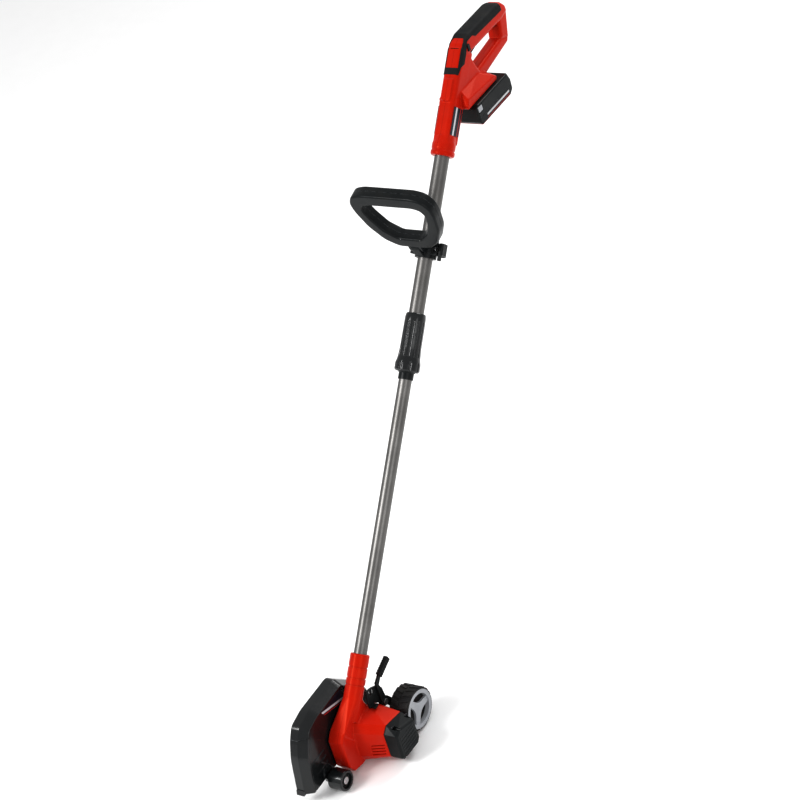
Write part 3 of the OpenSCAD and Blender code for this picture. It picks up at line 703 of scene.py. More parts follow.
class Paint(Wiring):
    """One material under construction, with its shader and Object coordinates ready."""

    def __init__(self, name: str, turn: Sequence[float] = (0, 0, 0)) -> None:
        """Makes the material.

        Args:
            name: name of the finish.
            turn: turn of the pattern's frame, in degrees.
        """
        self.material = bpy.data.materials.new(name)
        self.material.use_nodes = True
        super().__init__(self.material.node_tree)
        self.shader = self.tree.nodes["Principled BSDF"]
        mapped = self.node("ShaderNodeMapping", self.node("ShaderNodeTexCoord").outputs["Object"])
        self.feed(mapped, {"Rotation": [math.radians(a) for a in turn]})
        self.place = mapped.outputs["Vector"]

    def use(self, group: bpy.types.NodeTree, **values: object) -> bpy.types.Node:
        """Places a shared group.

        Args:
            group: the group.
            values: sockets or values of its inputs, an underscore standing for a space.

        Returns:
            The group's node.
        """
        node = self.node("ShaderNodeGroup", node_tree=group)
        if "Coordinates" in node.inputs:
            self.feed(node, {"Coordinates": self.place})
        self.feed(node, {key.replace("_", " "): value for key, value in values.items()})
        return node

    def bump(self, height: bpy.types.NodeSocket, strength: float, depth: float) -> None:
        """Adds a bump to the surface.

        Args:
            height: what raises it.
            strength: how strong it looks.
            depth: its depth in millimetres.
        """
        node = self.node("ShaderNodeBump")
        self.feed(node, {"Strength": strength, "Distance": depth * MM, "Height": height})
        self.finish(Normal=node.outputs["Normal"])

    def finish(self, **values: object) -> None:
        """Links sockets to the shader's own inputs, and sets its other ones, by name."""
        self.feed(self.shader, {key.replace("_", " "): value for key, value in values.items()})

    def banded(self, colour: bpy.types.NodeSocket, axis: str, level: float, half: float,
               other: Colour) -> bpy.types.NodeSocket:
        """A colour that is another one where a coordinate is close to a level.

        Args:
            colour: the colour elsewhere.
            axis: the coordinate: X, Y or Z.
            level: middle of the band, in metres.
            half: half of its width, in metres.
            other: the band's colour.

        Returns:
            The colour with its band.
        """
        value = self.node("ShaderNodeSeparateXYZ", self.place).outputs[axis]
        line = self.use(KIT.line, Value=value, Level=level, Half_width=half)
        return self.mixed(line.outputs["Mask"], colour, other)


@dataclass(frozen=True)
class Moulded:
    """A moulded plastic or rubber with grain, paler edges that are partly rubbed wear and partly painted
    highlight, a little dust and, when set, a band of painted shade.
    """

    name: str
    colour: Colour
    shade: Colour
    roughness: float
    grain: float = 1500.0
    relief: float = 0.12
    worn: Colour = (0.3, 0.3, 0.3)
    wear_and_highlight: float = 0.25
    dust: float = 0.03
    coat: float = 0.0
    spread: float = 0.16
    specular: float = 0.2
    tint: Colour = (1.0, 1.0, 1.0)
    parting: bool = False
    painted_shade_reach: float = 0.0

    def material(self) -> bpy.types.Material:
        """Builds the material."""
        paint = Paint(self.name)
        skin = paint.use(KIT.grain, Colour=self.colour, Shade=self.shade, Grain=self.grain,
                         Roughness=self.roughness, Spread=self.spread)
        # Paler edges: partly rubbed wear, partly a painted highlight along the edges.
        edge = paint.use(KIT.wear_and_highlight, Colour=skin.outputs["Colour"], Worn=self.worn, Amount=self.wear_and_highlight)
        film = paint.use(KIT.dust, Colour=edge.outputs["Colour"], Dust=(0.28, 0.24, 0.19), Amount=self.dust)
        colour = film.outputs["Colour"]
        if self.parting:
            colour = paint.banded(colour, "X", 0.0, 0.22 * MM, tuple(c * 0.5 for c in self.colour))
        # Painted shade: parts within this reach of X = 0 (the hub's deep side, between its spokes) are
        # darkened to stand in for shade.
        if self.painted_shade_reach > 0:
            colour = paint.banded(colour, "X", 0.0, self.painted_shade_reach, tuple(c * 0.08 for c in self.colour))
        paint.finish(Base_Color=colour, Roughness=skin.outputs["Roughness"], Specular_IOR_Level=self.specular,
                     Specular_Tint=self.tint, Coat_Weight=self.coat, Coat_Roughness=0.12)
        paint.bump(skin.outputs["Height"], self.relief, 0.25)
        return paint.material


@dataclass(frozen=True)
class Metal:
    """Bare or plated metal with drawn lines."""

    name: str
    colour: Colour
    roughness: float
    fineness: Colour = (900.0, 900.0, 12.0)
    turn: Colour = (0.0, 0.0, 0.0)
    dull: float = 0.06
    spread: float = 0.22

    def material(self) -> bpy.types.Material:
        """Builds the material."""
        paint = Paint(self.name, self.turn)
        lines = paint.use(KIT.brushed, Fineness=self.fineness, Roughness=self.roughness, Spread=self.spread)
        skin = paint.use(KIT.grain, Colour=self.colour, Shade=tuple(c * 0.72 for c in self.colour),
                         Grain=700.0, Roughness=self.roughness, Spread=0.1)
        film = paint.use(KIT.dust, Colour=skin.outputs["Colour"], Dust=(0.2, 0.18, 0.15), Amount=self.dull)
        paint.finish(Base_Color=film.outputs["Colour"], Roughness=lines.outputs["Roughness"], Metallic=1.0)
        paint.bump(lines.outputs["Height"], 0.08, 0.05)
        return paint.material


@dataclass(frozen=True)
class Film:
    """A glossy printed label: a dark field with one plain pale stripe and a thin border line."""

    name: str
    colour: Colour
    stripe: Colour
    turn: Colour
    level: float
    half: float
    second: float

    def material(self) -> bpy.types.Material:
        """Builds the material."""
        paint = Paint(self.name, self.turn)
        skin = paint.use(KIT.grain, Colour=self.colour, Shade=tuple(c * 0.6 for c in self.colour),
                         Grain=900.0, Roughness=0.30, Spread=0.1)
        colour = paint.banded(skin.outputs["Colour"], "Y", self.level, self.half, self.stripe)
        colour = paint.banded(colour, "Y", self.second, self.half * 0.35, (0.45, 0.02, 0.015))
        paint.finish(Base_Color=colour, Roughness=skin.outputs["Roughness"], Specular_IOR_Level=0.3)
        paint.bump(skin.outputs["Height"], 0.05, 0.05)
        return paint.material


class Finishes:
    """Every finish of the tool, by the record's material slot."""

    def __init__(self) -> None:
        """Builds the materials."""
        grey = Moulded("grey_plastic", (0.42, 0.43, 0.45), (0.33, 0.34, 0.36), 0.34, worn=(0.65, 0.66, 0.68),
                       wear_and_highlight=0.4, coat=0.1)
        specs = [
            Moulded("red_plastic", (0.50, 0.017, 0.005), (0.44, 0.013, 0.004), 0.30, worn=(0.75, 0.12, 0.07),
                    wear_and_highlight=0.30, relief=0.04, specular=0.40, tint=(1.0, 0.22, 0.10), spread=0.10,
                    parting=True),
            Moulded("red_trim", (0.42, 0.012, 0.010), (0.34, 0.010, 0.008), 0.42, worn=(0.6, 0.1, 0.08)),
            Moulded("black_plastic", (0.013, 0.015, 0.016), (0.008, 0.010, 0.011), 0.34, relief=0.12,
                    worn=(0.16, 0.17, 0.18), wear_and_highlight=0.6),
            # gloss_black's strong pale edges are a painted highlight standing in for the glints along its
            # glossy edges.
            Moulded("gloss_black", (0.009, 0.011, 0.012), (0.006, 0.007, 0.008), 0.20, wear_and_highlight=0.8,
                    worn=(0.22, 0.23, 0.24), relief=0.02, coat=0.35, dust=0.02, spread=0.10, specular=0.4),
            Moulded("soft_grip", (0.016, 0.017, 0.018), (0.010, 0.011, 0.012), 0.66, grain=2400.0,
                    relief=0.45, worn=(0.05, 0.05, 0.055), wear_and_highlight=0.3, dust=0.06),
            Moulded("tyre_rubber", (0.020, 0.020, 0.021), (0.012, 0.012, 0.013), 0.55, grain=1100.0,
                    relief=0.4, worn=(0.10, 0.10, 0.10), wear_and_highlight=0.5, dust=0.10),
            grey,
            # The hub's finish darkens its deep side as painted shade between the spokes.
            replace(grey, name="hub_plastic", painted_shade_reach=0.0572),
            Moulded("ferrite", (0.05, 0.05, 0.055), (0.03, 0.03, 0.035), 0.6),
            Moulded("inner_plastic", (0.03, 0.03, 0.032), (0.02, 0.02, 0.022), 0.5),
            Moulded("cell_wrap", (0.03, 0.16, 0.10), (0.02, 0.12, 0.08), 0.3),
            Moulded("cable_jacket", (0.015, 0.015, 0.015), (0.01, 0.01, 0.01), 0.5),
            Metal("tube_aluminium", (0.20, 0.195, 0.19), 0.34, turn=(45.0, 0.0, 0.0), spread=0.14),
            Metal("black_steel", (0.05, 0.05, 0.055), 0.35),
            Moulded("pale_print", (0.55, 0.55, 0.56), (0.48, 0.48, 0.5), 0.35),
            Metal("steel", (0.62, 0.62, 0.63), 0.22),
            Metal("blade_steel", (0.46, 0.46, 0.48), 0.30, (700.0, 16.0, 700.0)),
            Metal("zinc_plate", (0.55, 0.55, 0.56), 0.36, (60.0, 900.0, 900.0)),
            Film("label_film", (0.012, 0.015, 0.030), (0.55, 0.56, 0.58), (-135.0, 0.0, 0.0), 0.0320,
                 0.0024, 0.0205),
            Film("guard_film", (0.010, 0.012, 0.022), (0.5, 0.51, 0.53), (-73.2, 0.0, 0.0), 0.0785,
                 0.0022, 0.0735),
        ]
        self.slots = {spec.name: spec.material() for spec in specs}

    def __getitem__(self, slot: str) -> bpy.types.Material:
        """The material of a slot."""
        return self.slots[slot]


# ---------------------------------------------------------------- handing pieces over

class Bench:
    """Dresses each finished piece and sets it on its body in place of its CAD nodes."""

    def __init__(self) -> None:
        """Reads which body and which slot each node has."""
        record = frame["record"]
        self.body = {node: body for body, nodes in record["behaviour"]["bodies"].items() for node in nodes}
        self.slot = {part["node"]: part["material_slot"] for part in record["subparts"]}
        self.finishes = Finishes()
        self.repeat = {pattern: Repeater(pattern) for pattern in Pattern}
        self.done: set[str] = set()

    def fit(self, made: bpy.types.Object, *nodes: str, slot: str = "", body: str = "",
            finish: str = "", sharp: float = 32) -> bpy.types.Object:
        """Gives a piece its finish, its body and the nodes that it stands for.

        Args:
            made: the piece, in metres.
            nodes: CAD nodes that it replaces.
            slot: the record's slot; the first node's if empty.
            body: the body that it rides on; the first node's if empty.
            finish: the material, if it isn't the slot's.
            sharp: edges sharper than this angle stay crisp.

        Returns:
            The same piece.
        """
        slot = slot or self.slot[nodes[0]]
        body = body or self.body[nodes[0]]
        self.paint(made, finish or slot)
        made.data.polygons.foreach_set("use_smooth", [True] * len(made.data.polygons))
        made.data.set_sharp_from_angle(angle=math.radians(sharp))
        even = made.modifiers.new("even", "WEIGHTED_NORMAL")
        even.keep_sharp = True
        settle(made)
        if nodes:
            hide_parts(*nodes)
            self.done.update(nodes)
        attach(made, body)
        LOG.info("%s: %d faces on %s", made.name, len(made.data.polygons), body)
        return made

    def paint(self, made: bpy.types.Object, finish: str) -> None:
        """Gives an object one finish only."""
        made.data.materials.clear()
        made.data.materials.append(self.finishes[finish])

    def refined(self, node: str, edge: float, segments: int, finish: str = "") -> None:
        """Makes a node's finished piece from its own shape, with welded faces and broken edges.

        Args:
            node: the CAD node.
            edge: width of the round on its edges, in millimetres.
            segments: faces across the round.
            finish: material, if it isn't the slot's.
        """
        shape = bmesh.new()
        shape.from_mesh(frame["nodes"][node].data)
        bmesh.ops.remove_doubles(shape, verts=shape.verts, dist=3e-6)
        bmesh.ops.dissolve_limit(shape, angle_limit=math.radians(0.6), verts=shape.verts, edges=shape.edges)
        self.fit(edged(ended(node + "_piece", shape), edge, segments), node, finish=finish)

    def refine(self, edge: float, segments: int, *nodes: str) -> None:
        """Finishes nodes from their own shapes, all with the same round on their edges."""
        for node in nodes:
            self.refined(node, edge, segments)

    def rest(self) -> None:
        """Gives every node that no piece stands for its slot's material."""
        for node, made in frame["nodes"].items():
            if node not in self.done:
                self.paint(made, self.slot[node])
                LOG.info("%s: kept", node)


# ---------------------------------------------------------------- screws

@dataclass
class Screws:
    """Pan-head screws with a six-lobed socket, set wherever the tool has them."""

    bench: Bench
    height: float = 2.4
    shank: float = 1.4

    def part(self, length: float, head: float) -> bpy.types.Object:
        """One screw, its head's top at the origin facing +X.

        Args:
            length: from the head's top to the tip, in millimetres.
            head: radius of the head.

        Returns:
            The screw as an object.
        """
        place = Matrix.Rotation(math.radians(-90), 4, "Y")
        form = Form()
        r, h = head, self.height
        form.turned([(0, 0), (r * 0.55, 0), (r * 0.85, h * 0.14), (r * 0.97, h * 0.38), (r, h * 0.7),
                     (r, h), (self.shank, h), (self.shank, length - 1.5), (0.3, length), (0, length)],
                    place, 28)
        made = form.piece("screw")
        angles = [math.tau * i / 36 for i in range(36)]
        reach = [0.50 * r * (1 + 0.17 * math.cos(6 * a)) for a in angles]
        lobes = Form()
        lobes.prism([(d * math.cos(a), d * math.sin(a)) for a, d in zip(angles, reach)], -h * 0.6, 1.0)
        return carved(made, lobes)

    def set(self, node: str, points: Sequence[Sequence[float]], length: float, turn: Matrix,
            head: float = 3.0, seed: int = 1, finish: str = "steel") -> None:
        """Sets screws at points and hands them over for a node.

        Args:
            node: the node that they stand for.
            points: the tops of the heads.
            length: length of each screw.
            turn: turn that faces +X outwards.
            head: radius of the heads.
            seed: seed of their random turn.
            finish: their material, if it isn't steel.
        """
        tool = self.bench.repeat[Pattern.POINTS]
        made = tool.make(node + "_piece", self.part(length, head), self.bench.finishes[finish], turn,
                         scatter=3.0, seed=seed, points=points)
        self.bench.fit(made, node, finish=finish)


# ---------------------------------------------------------------- rear handle

@dataclass
class RearHandle:
    """Closed rear handle: red shell, soft skin, trigger, lock button and labels."""

    bench: Bench
    neck: Outline = ((690.7, 753.9), (716.8, 727.7), (832, 843), (806, 869.2))
    front: Outline = ((772, 806), (790, 790), (838, 790), (838, 800), (812, 872), (800, 862))
    top: Outline = ((800, 861), (812, 847), (935, 847), (957, 852), (956, 864), (946, 875), (928, 879.5),
                    (832, 879.5), (812, 872.5))
    back: Outline = ((918, 818), (942, 808), (957, 852), (950, 866), (928, 858))
    low: Outline = ((818, 808), (822, 791), (852, 788), (938, 802), (944, 812), (918, 820))
    dock_low: Outline = ((757, 777.2), (853, 777.2), (857, 783), (850, 789), (762, 795), (755, 784))
    dock_high: Outline = ((764, 779), (850, 779), (848, 796), (826, 808), (766, 808))
    collar: Outline = ((0, 0), (18.5, 0), (20.7, 2.5), (20.7, 8), (19.3, 9.2), (19.3, 11), (20.3, 12.2),
                       (20.3, 21), (18.6, 26), (17.6, 34), (0, 34))
    screws: Outline = ((942, 856), (936, 812), (844, 799), (762, 789), (731.4, 747.9), (800, 852))
    panel: Sequence[tuple[float, float, float]] = ((9, -19.6, 1096), (9, -19.6, 1128), (5, -19.6, 1092),
                                                   (11, -10, 1090), (11, -10, 1140))
    trigger_room: Outline = ((804, 868), (806, 832), (815, 826), (835, 834), (850, 840), (925, 840),
                             (925, 868))
    covered: Outline = ((768, 860), (768, 845), (774, 834), (786, 842), (797, 842), (814, 859), (822, 871),
                        (840, 872), (849, 866), (918, 864), (938, 864), (938, 890), (800, 890))
    screw_hole: float = 3.25
    bore: float = 12.85
    spine: float = 13.0

    def shell(self) -> None:
        """Red shell of both halves."""
        form = Form()
        for outline, half, soft in ((self.neck, 16, 7.5), (self.front, 15.8, 6), (self.top, 15.5, 6.5),
                                    (self.back, 14, 6), (self.low, 13, 5.5)):
            form.bar(outline, -half, half, soft)
        dock = ((inset(self.dock_low, 1.5), 30), (self.dock_low, 28.5), (self.dock_high, 15))
        form.hull([p for outline, half in dock for x in (-half, half) for p in side_view(outline, x)])
        form.turned(self.collar, on_shaft(1000))
        form.hull([on_shaft(0) @ Vector((side * x, y, z)) for x, y, z in self.panel for side in (-1, 1)])
        made = fused(form.piece("handle_shell"), 1.05, 4)
        holes = Form()
        for y, z in self.screws:
            holes.rod(self.screw_hole, -30, -12.6, about_x(y, z))
        holes.rod(self.bore, 990, 1062, on_shaft(0), 72)
        rooms = Form()
        rooms.prism(self.trigger_room, -8.6, 8.6)
        slot = Form()
        slot.box((-20, 817.7, 853.7), (20, 824.3, 866.3))
        for tool in (holes, rooms, slot):
            carved(made, tool)
        self.bench.fit(made, "rear_housing_right", "rear_housing_left")

    def skin(self) -> None:
        """Soft skin over the bar, down both sides of the neck and round it."""
        form = Form()
        form.bar(inset(self.top, -0.8), -16.3, 16.3, 7)
        form.bar(inset(self.neck, -0.8), -16.8, 16.8, 8)
        made = fused(form.piece("grip_skin"), 1.0, 3)
        area = Form()
        area.prism(self.covered, -30, 30)
        carved(made, area, Cut.KEEP)
        front, painted_shade_reach, crown = on_shaft(0), (-32, -9), 1192
        arch = [(self.spine * math.cos(a), crown + (self.spine + 1) * math.sin(a))
                for a in (math.pi * i / 16 for i in range(17))]
        window = Form()
        window.hull(corners((-self.spine, self.spine), painted_shade_reach, (1149, crown), front)
                    + [front @ Vector((x, y, z)) for y in painted_shade_reach for x, z in arch])
        self.bench.fit(carved(made, window), "grip_overmould", sharp=40)

    def controls(self) -> None:
        """Trigger, lock button, labels and the inner pieces."""
        for node, edge, segments in (("trigger", 0.5, 2), ("lock_button", 0.3, 2), ("side_labels", 0.15, 1),
                                     ("switch_module", 0.5, 2), ("terminal_block", 0.4, 2),
                                     ("trigger_pin", 0.3, 2)):
            self.bench.refined(node, edge, segments)

    def build(self, screws: Screws) -> None:
        """Builds the whole sub-assembly.

        Args:
            screws: sets its screws.
        """
        self.shell()
        self.skin()
        self.controls()
        screws.set("handle_screws", [(-12.5, y, z) for y, z in self.screws], 22, TO_THE_LEFT, seed=3)


@dataclass
class BatteryPack:
    """Slide-on battery with its red base, plain print and two release buttons."""

    bench: Bench
    half: float = 37.0
    parting: float = 739.15
    gap: float = 0.15
    print_ends: tuple[float, float] = (792.0, 868.0)
    outline: Outline = ((769, 744), (775, 737), (871, 737), (881, 744), (882, 762), (876, 776.6),
                        (775, 776.6), (769, 770))

    def shell(self) -> None:
        """Black case on its red base, parted at one level."""
        for name, node, low, high in (("battery_shell", "battery_case", self.parting + self.gap, 790),
                                      ("battery_foot", "battery_base", 700, self.parting - self.gap)):
            form = Form()
            form.bar(self.outline, -self.half, self.half, 3.2)
            level = Form()
            level.box((-50, 700, low), (50, 900, high))
            made = carved(form.piece(name), level, Cut.KEEP)
            if node == "battery_case":
                cuts = Form()
                for side in (-1, 1):
                    cuts.box((side * 35.6, 770.6, 760.6), (side * 40, 785.4, 773.4))
                    cuts.box((side * 36.5, 762, 752.0), (side * 40, 890, 752.7))
                carved(made, cuts)
            self.bench.fit(made, node)

    def print(self) -> None:
        """Plain pale bar and red line printed on both sides."""
        for name, finish, low, high in (("battery_bar", "pale_print", 745.4, 749.0),
                                        ("battery_line", "red_trim", 741.6, 742.6)):
            form = Form()
            near, far = self.print_ends
            for side in (-self.half - 0.12, self.half - 0.1):
                form.prism([(near, low), (far, low), (far, high), (near, high)], side, side + 0.22)
            self.bench.fit(form.piece(name), slot="label_film", body="battery", finish=finish)

    def build(self) -> None:
        """Builds the whole sub-assembly."""
        self.shell()
        self.print()
        self.bench.refine(0.4, 2, "battery_cells")
        self.bench.refine(0.7, 3, "battery_button_left", "battery_button_right")


# ---------------------------------------------------------------- shaft and second handle

@dataclass
class Shaft:
    """Telescopic tubes, collet and twist sleeve."""

    bench: Bench

    def build(self) -> None:
        """Builds the whole sub-assembly."""
        self.bench.refine(0.2, 1, "upper_tube", "lower_tube", "tube_collet")
        self.bench.refine(0.35, 2, "clamp_sleeve")


@dataclass
class SecondHandle:
    """D-shaped loop on its tube clamp, with the cam lever."""

    bench: Bench
    outer: Outline = ((-30, 6), (30, 6), (54, 21), (73, 54), (82, 92), (82, 112), (71, 129), (50, 135),
                      (-50, 135), (-71, 129), (-82, 112), (-82, 92), (-73, 54), (-54, 21))
    hole: Outline = ((-22, 30), (22, 30), (42, 46), (55, 74), (60, 94), (56, 104), (44, 108), (-44, 108),
                     (-56, 104), (-60, 94), (-55, 74), (-42, 46))
    hinge: tuple[float, float, float] = (0.0, 558.5, 635.0)
    tilt: float = 106.0
    slimmer: float = 2.0
    foot: float = 11.0

    def place(self) -> Matrix:
        """Where the loop's own drawing stands."""
        return Matrix.Translation(self.hinge) @ Matrix.Rotation(math.radians(self.tilt), 4, "X")

    def loop(self) -> None:
        """The loop as one smooth ring with a parting groove and two grip joints."""
        stand, count = self.place(), 216
        over = [(0.3, 0.4), (0.5, 0.0), (8.6, 0.0), (10.4, 0.9), (11.6, 2.4), (12, 3.6)]
        levels = [(-z, depth) for z, depth in reversed(over)] + over
        outside = [(z, inset(self.outer, depth), 8) for z, depth in levels]
        inside = [(z, inset(self.hole, -depth - self.slimmer), 6) for z, depth in reversed(levels)]
        rings = [[stand @ Vector((x, y, z)) for x, y in resampled(rounded(outline, soft), count)]
                 for z, outline, soft in outside + inside]
        form = Form()
        form.loft(rings, capped=False, closed=True)
        for side in (-1, 1):
            ends = (side * 8.2, side * 13)
            form.hull([stand @ Vector((x, y, z)) for x in ends for y, z in circle(40, self.foot)]
                      + corners(ends, (6, self.foot), (-self.foot, self.foot), stand))
        self.bench.fit(form.piece("loop_grip"), "aux_loop_upper", "aux_loop_lower", sharp=38)

    def build(self, screws: Screws) -> None:
        """Builds the whole sub-assembly.

        Args:
            screws: sets its screws.
        """
        self.loop()
        self.bench.refine(0.7, 2, "aux_clamp_front", "aux_clamp_rear")
        self.bench.refine(0.3, 2, "aux_clamp_bolt")
        self.bench.refine(0.6, 2, "clamp_lever")
        stand = self.place() @ Matrix.Rotation(math.radians(-90), 4, "Y")
        heads = [self.place() @ Vector((x, 24, 11.5)) for x in (-20, 20)]
        screws.set("aux_loop_screws", heads, 20, stand.to_3x3().to_4x4(), seed=5)


# ---------------------------------------------------------------- cutting head

@dataclass
class HeadHousing:
    """Red gear and motor housing with the tube socket, and its black end cover."""

    bench: Bench
    gearbox: Outline = ((-39, -15), (-30, -31), (-8, -36), (38, -35), (60, -24), (67, 0), (66, 26),
                        (52, 44), (20, 54), (-25, 50), (-36.5, 38))
    root: Outline = ((-8, -17), (-2, -31), (57, -31), (67, -20), (68, 38), (56, 48), (1, 50), (-6, 35))
    seam: Outline = ((10, -21), (15, -27.5), (57, -29), (66, -20), (68.5, 28), (24.5, 36.5), (12, 26.5))
    end: Outline = ((10, -20.5), (15, -26.5), (56.5, -28), (65.2, -19.5), (65.8, 20.5), (26, 33.4),
                    (12, 26.8))
    low_screws: Outline = ((19, -24.3), (60.3, -24.6))
    top_screws: Outline = ((65, 25.2), (25.6, 33))
    head_screws: Outline = ((-31.5, 36), (-28, -22), (57, -18.5), (52, 34))
    screw_hole: float = 3.2
    neck_grooves: tuple[float, ...] = (99.0, 111.0, 129.0)
    air_slots: int = 4
    slot_step: float = 6.4
    slot_height: float = 2.6
    ribs: int = 6
    rib_step: float = 6.7

    def shell(self) -> None:
        """Red shell of both halves."""
        form = Form()
        form.bar(self.gearbox, -20, 10, 3.0)
        form.hull(side_view(self.root, 8) + side_view(self.root, 10) + side_view(self.seam, 59.4)
                  + side_view(inset(self.seam, 0.5), 60))
        form.turned([(0, 0), (17, 0), (16.6, 30), (16.5, 111), (15.4, 113), (0, 113)], on_shaft(40))
        ring = [on_shaft(78) @ Vector((x, y, 0)) for x, y in circle(32, 16.5)]
        foot = [(-24, 45), (-8, 20), (50, 36), (44, 47), (20, 54), (-24, 50)]
        form.hull(ring + side_view(foot, -19) + side_view(foot, 11))
        made = fused(form.piece("head_shell"), 0.95, 3)
        cuts = Form()
        for i in range(self.air_slots):
            low = -17 + i * self.slot_step
            cuts.box((31 + i * 0.8, -30, low), (54 + i * 0.8, 17, low + self.slot_height))
        for level in self.neck_grooves:
            cuts.turned([(15.4, 0), (20, 0), (20, 2.8), (15.4, 2.8)], on_shaft(level))
        for y, z in self.head_screws:
            cuts.rod(self.screw_hole, -30, -17, about_x(y, z))
        self.bench.fit(carved(made, cuts), "housing_right", "housing_left")

    def cover(self) -> None:
        """Black end cover with its screw pockets and ribs."""
        form = Form()
        form.hull(side_view(inset(self.seam, 0.4), 60) + side_view(self.seam, 60.8)
                  + side_view(self.end, 83.8) + side_view(inset(self.end, 2.8), 87.2))
        for y, z in self.low_screws:
            form.turned([(0, 60.5), (5.6, 60.5), (5.6, 78.2), (4.8, 79), (0, 79)], about_x(y, z), 36)
        made = fused(form.piece("motor_cover_piece"), 0.8, 3)
        pockets = Form()
        for y, z in self.low_screws + self.top_screws:
            pockets.turned([(0, 72), (4.2, 72), (4.2, 79), (3.7, 79), (3.7, 100), (0, 100)],
                           about_x(y, z), 36)
        self.bench.fit(carved(made, pockets), "motor_cover")
        rib = Form()
        rib.hull(corners((86.2,), (16, 61), (-1.5, 1.5), Matrix())
                 + corners((88,), (18, 59), (-0.7, 0.7), Matrix()))
        tool = self.bench.repeat[Pattern.ROW]
        ribs = tool.make("cover_ribs", rib.piece("rib"), self.bench.finishes["black_plastic"],
                         Matrix.Translation((0, 0, -17.5)), count=self.ribs,
                         step=(0, 0, self.rib_step * MM))
        self.bench.fit(ribs, slot="black_plastic", body="cutting_head")

    def build(self, screws: Screws) -> None:
        """Builds the whole sub-assembly.

        Args:
            screws: sets its screws.
        """
        self.shell()
        self.cover()
        screws.set("cover_screws", [(74.4, y, z) for y, z in self.low_screws + self.top_screws], 25.4,
                   Matrix(), head=3.5, seed=7, finish="black_steel")
        screws.set("housing_screws", [(-19.4, y, z) for y, z in self.head_screws], 26.5, TO_THE_LEFT,
                   seed=9)
        self.bench.refine(0.25, 1, "gear_plate", "motor_can", "motor_end_bell", "motor_rotor", "motor_fan")
        self.bench.refine(0, 1, "drive_gear", "motor_pinion")


@dataclass
class Guard:
    """Bevelled blade guard with its front flap, label, blade and guide roller."""

    bench: Bench
    outline: Outline = ((-114.7, -30), (114.7, -30), (103, 22), (97, 49), (44, 102), (-36, 102), (-68, 95),
                        (-83, 76), (-97, 47), (-102, 27))
    wall: float = 3.0
    bevel: float = 8.0
    grooves: int = 3
    groove_step: float = 13.0
    roller: tuple[float, float] = (-59.6, -23.2)

    def body(self, name: str) -> bpy.types.Object:
        """The whole guard before it is parted into guard and flap.

        Args:
            name: name of the object.

        Returns:
            The guard as an object.
        """
        def ring(depth: float, x: float) -> Ring:
            """One rounded outline of the guard at an X."""
            return side_view(rounded(inset(self.outline, depth), 7, 5), x)

        form = Form()
        form.loft([ring(0.5, -54), ring(0, -53.4), ring(0, -38.6), ring(0.3, -37.6),
                   ring(self.bevel - 0.6, -22.5), ring(self.bevel + 0.8, -22)])
        made = form.piece(name)
        hollow = Form()
        hollow.loft([ring(self.wall, -60), ring(self.wall, -38), ring(self.bevel + 1.8, -25)])
        carved(made, hollow)
        cuts = Form()
        cuts.box((-80, -150, -58), (0, 150, -18))
        for i in range(self.grooves):
            z = 4 + i * self.groove_step
            groove = [(-84, z), (-50, z), (-50, z + 3.6), (-84, z + 3.6)]
            cuts.prism(rounded(groove, 1.7, 4), -23.2, -20)
        cuts.rod(8, -40, -10, about_x(0, 0), 40)
        return carved(made, cuts)

    def band(self, extra: float) -> Form:
        """Room of the front flap, grown by a little."""
        form = Form()
        form.box((-60, -150, -60), (0, -60, 77 + extra))
        return form

    def core(self, depth: float) -> Form:
        """Room of the guard inside its outline, which the flap doesn't take."""
        form = Form()
        form.prism(rounded(inset(self.outline, depth), 6, 4), -62, 2)
        return form

    def shell(self) -> None:
        """Guard and front flap."""
        flap = carved(self.body("guard_flap"), self.band(0.0), Cut.KEEP)
        carved(flap, self.core(11))
        lip = Form()
        lip.prism([(-114.8, -20.4), (-108.8, -20.4), (-109, -16), (-111.6, -11)], -54, -38)
        self.bench.fit(edged(joined("guard_flap", [flap, lip.piece("lip")]), 0.5, 2, 28),
                       "guard_deflector")
        room = carved(self.band(0.3).piece("room"), self.core(11.3))
        upper = carved(self.body("guard_upper"), room)
        y, z = self.roller
        lug = Form()
        lug.turned([(0, -25), (9, -25), (9, -15.2), (8.4, -14.6), (0, -14.6)], about_x(y, z), 40)
        lug.prism([(-72, -12), (-68.6, -23), (-50.6, -23), (-47, -12), (-52, 0), (-66, 0)], -25, -20)
        boss = Form()
        boss.turned([(0, -23), (33, -23), (33, -20.6), (32.4, -20), (0, -20)], about_x(0, 0))
        made = joined("guard_shell", [edged(upper, 0.4, 2, 28), lug.piece("lug"), boss.piece("boss")])
        self.bench.fit(made, "blade_guard")

    def build(self, screws: Screws) -> None:
        """Builds the whole sub-assembly.

        Args:
            screws: sets its screws.
        """
        self.shell()
        self.bench.refined("guard_label", 0.2, 1, finish="guard_film")
        screws.set("guard_screws", [(-27.6, y, z) for y in (-20, 20) for z in (-16, 16)], 12,
                   TO_THE_LEFT, head=3.6, seed=11)
        self.bench.refine(0.7, 3, "guide_roller")
        self.bench.refine(0.5, 2, "roller_bolt")
        self.bench.refine(0.25, 1, "blade_flange", "blade_washer", "blade_nut", "blade_spindle", "blade")


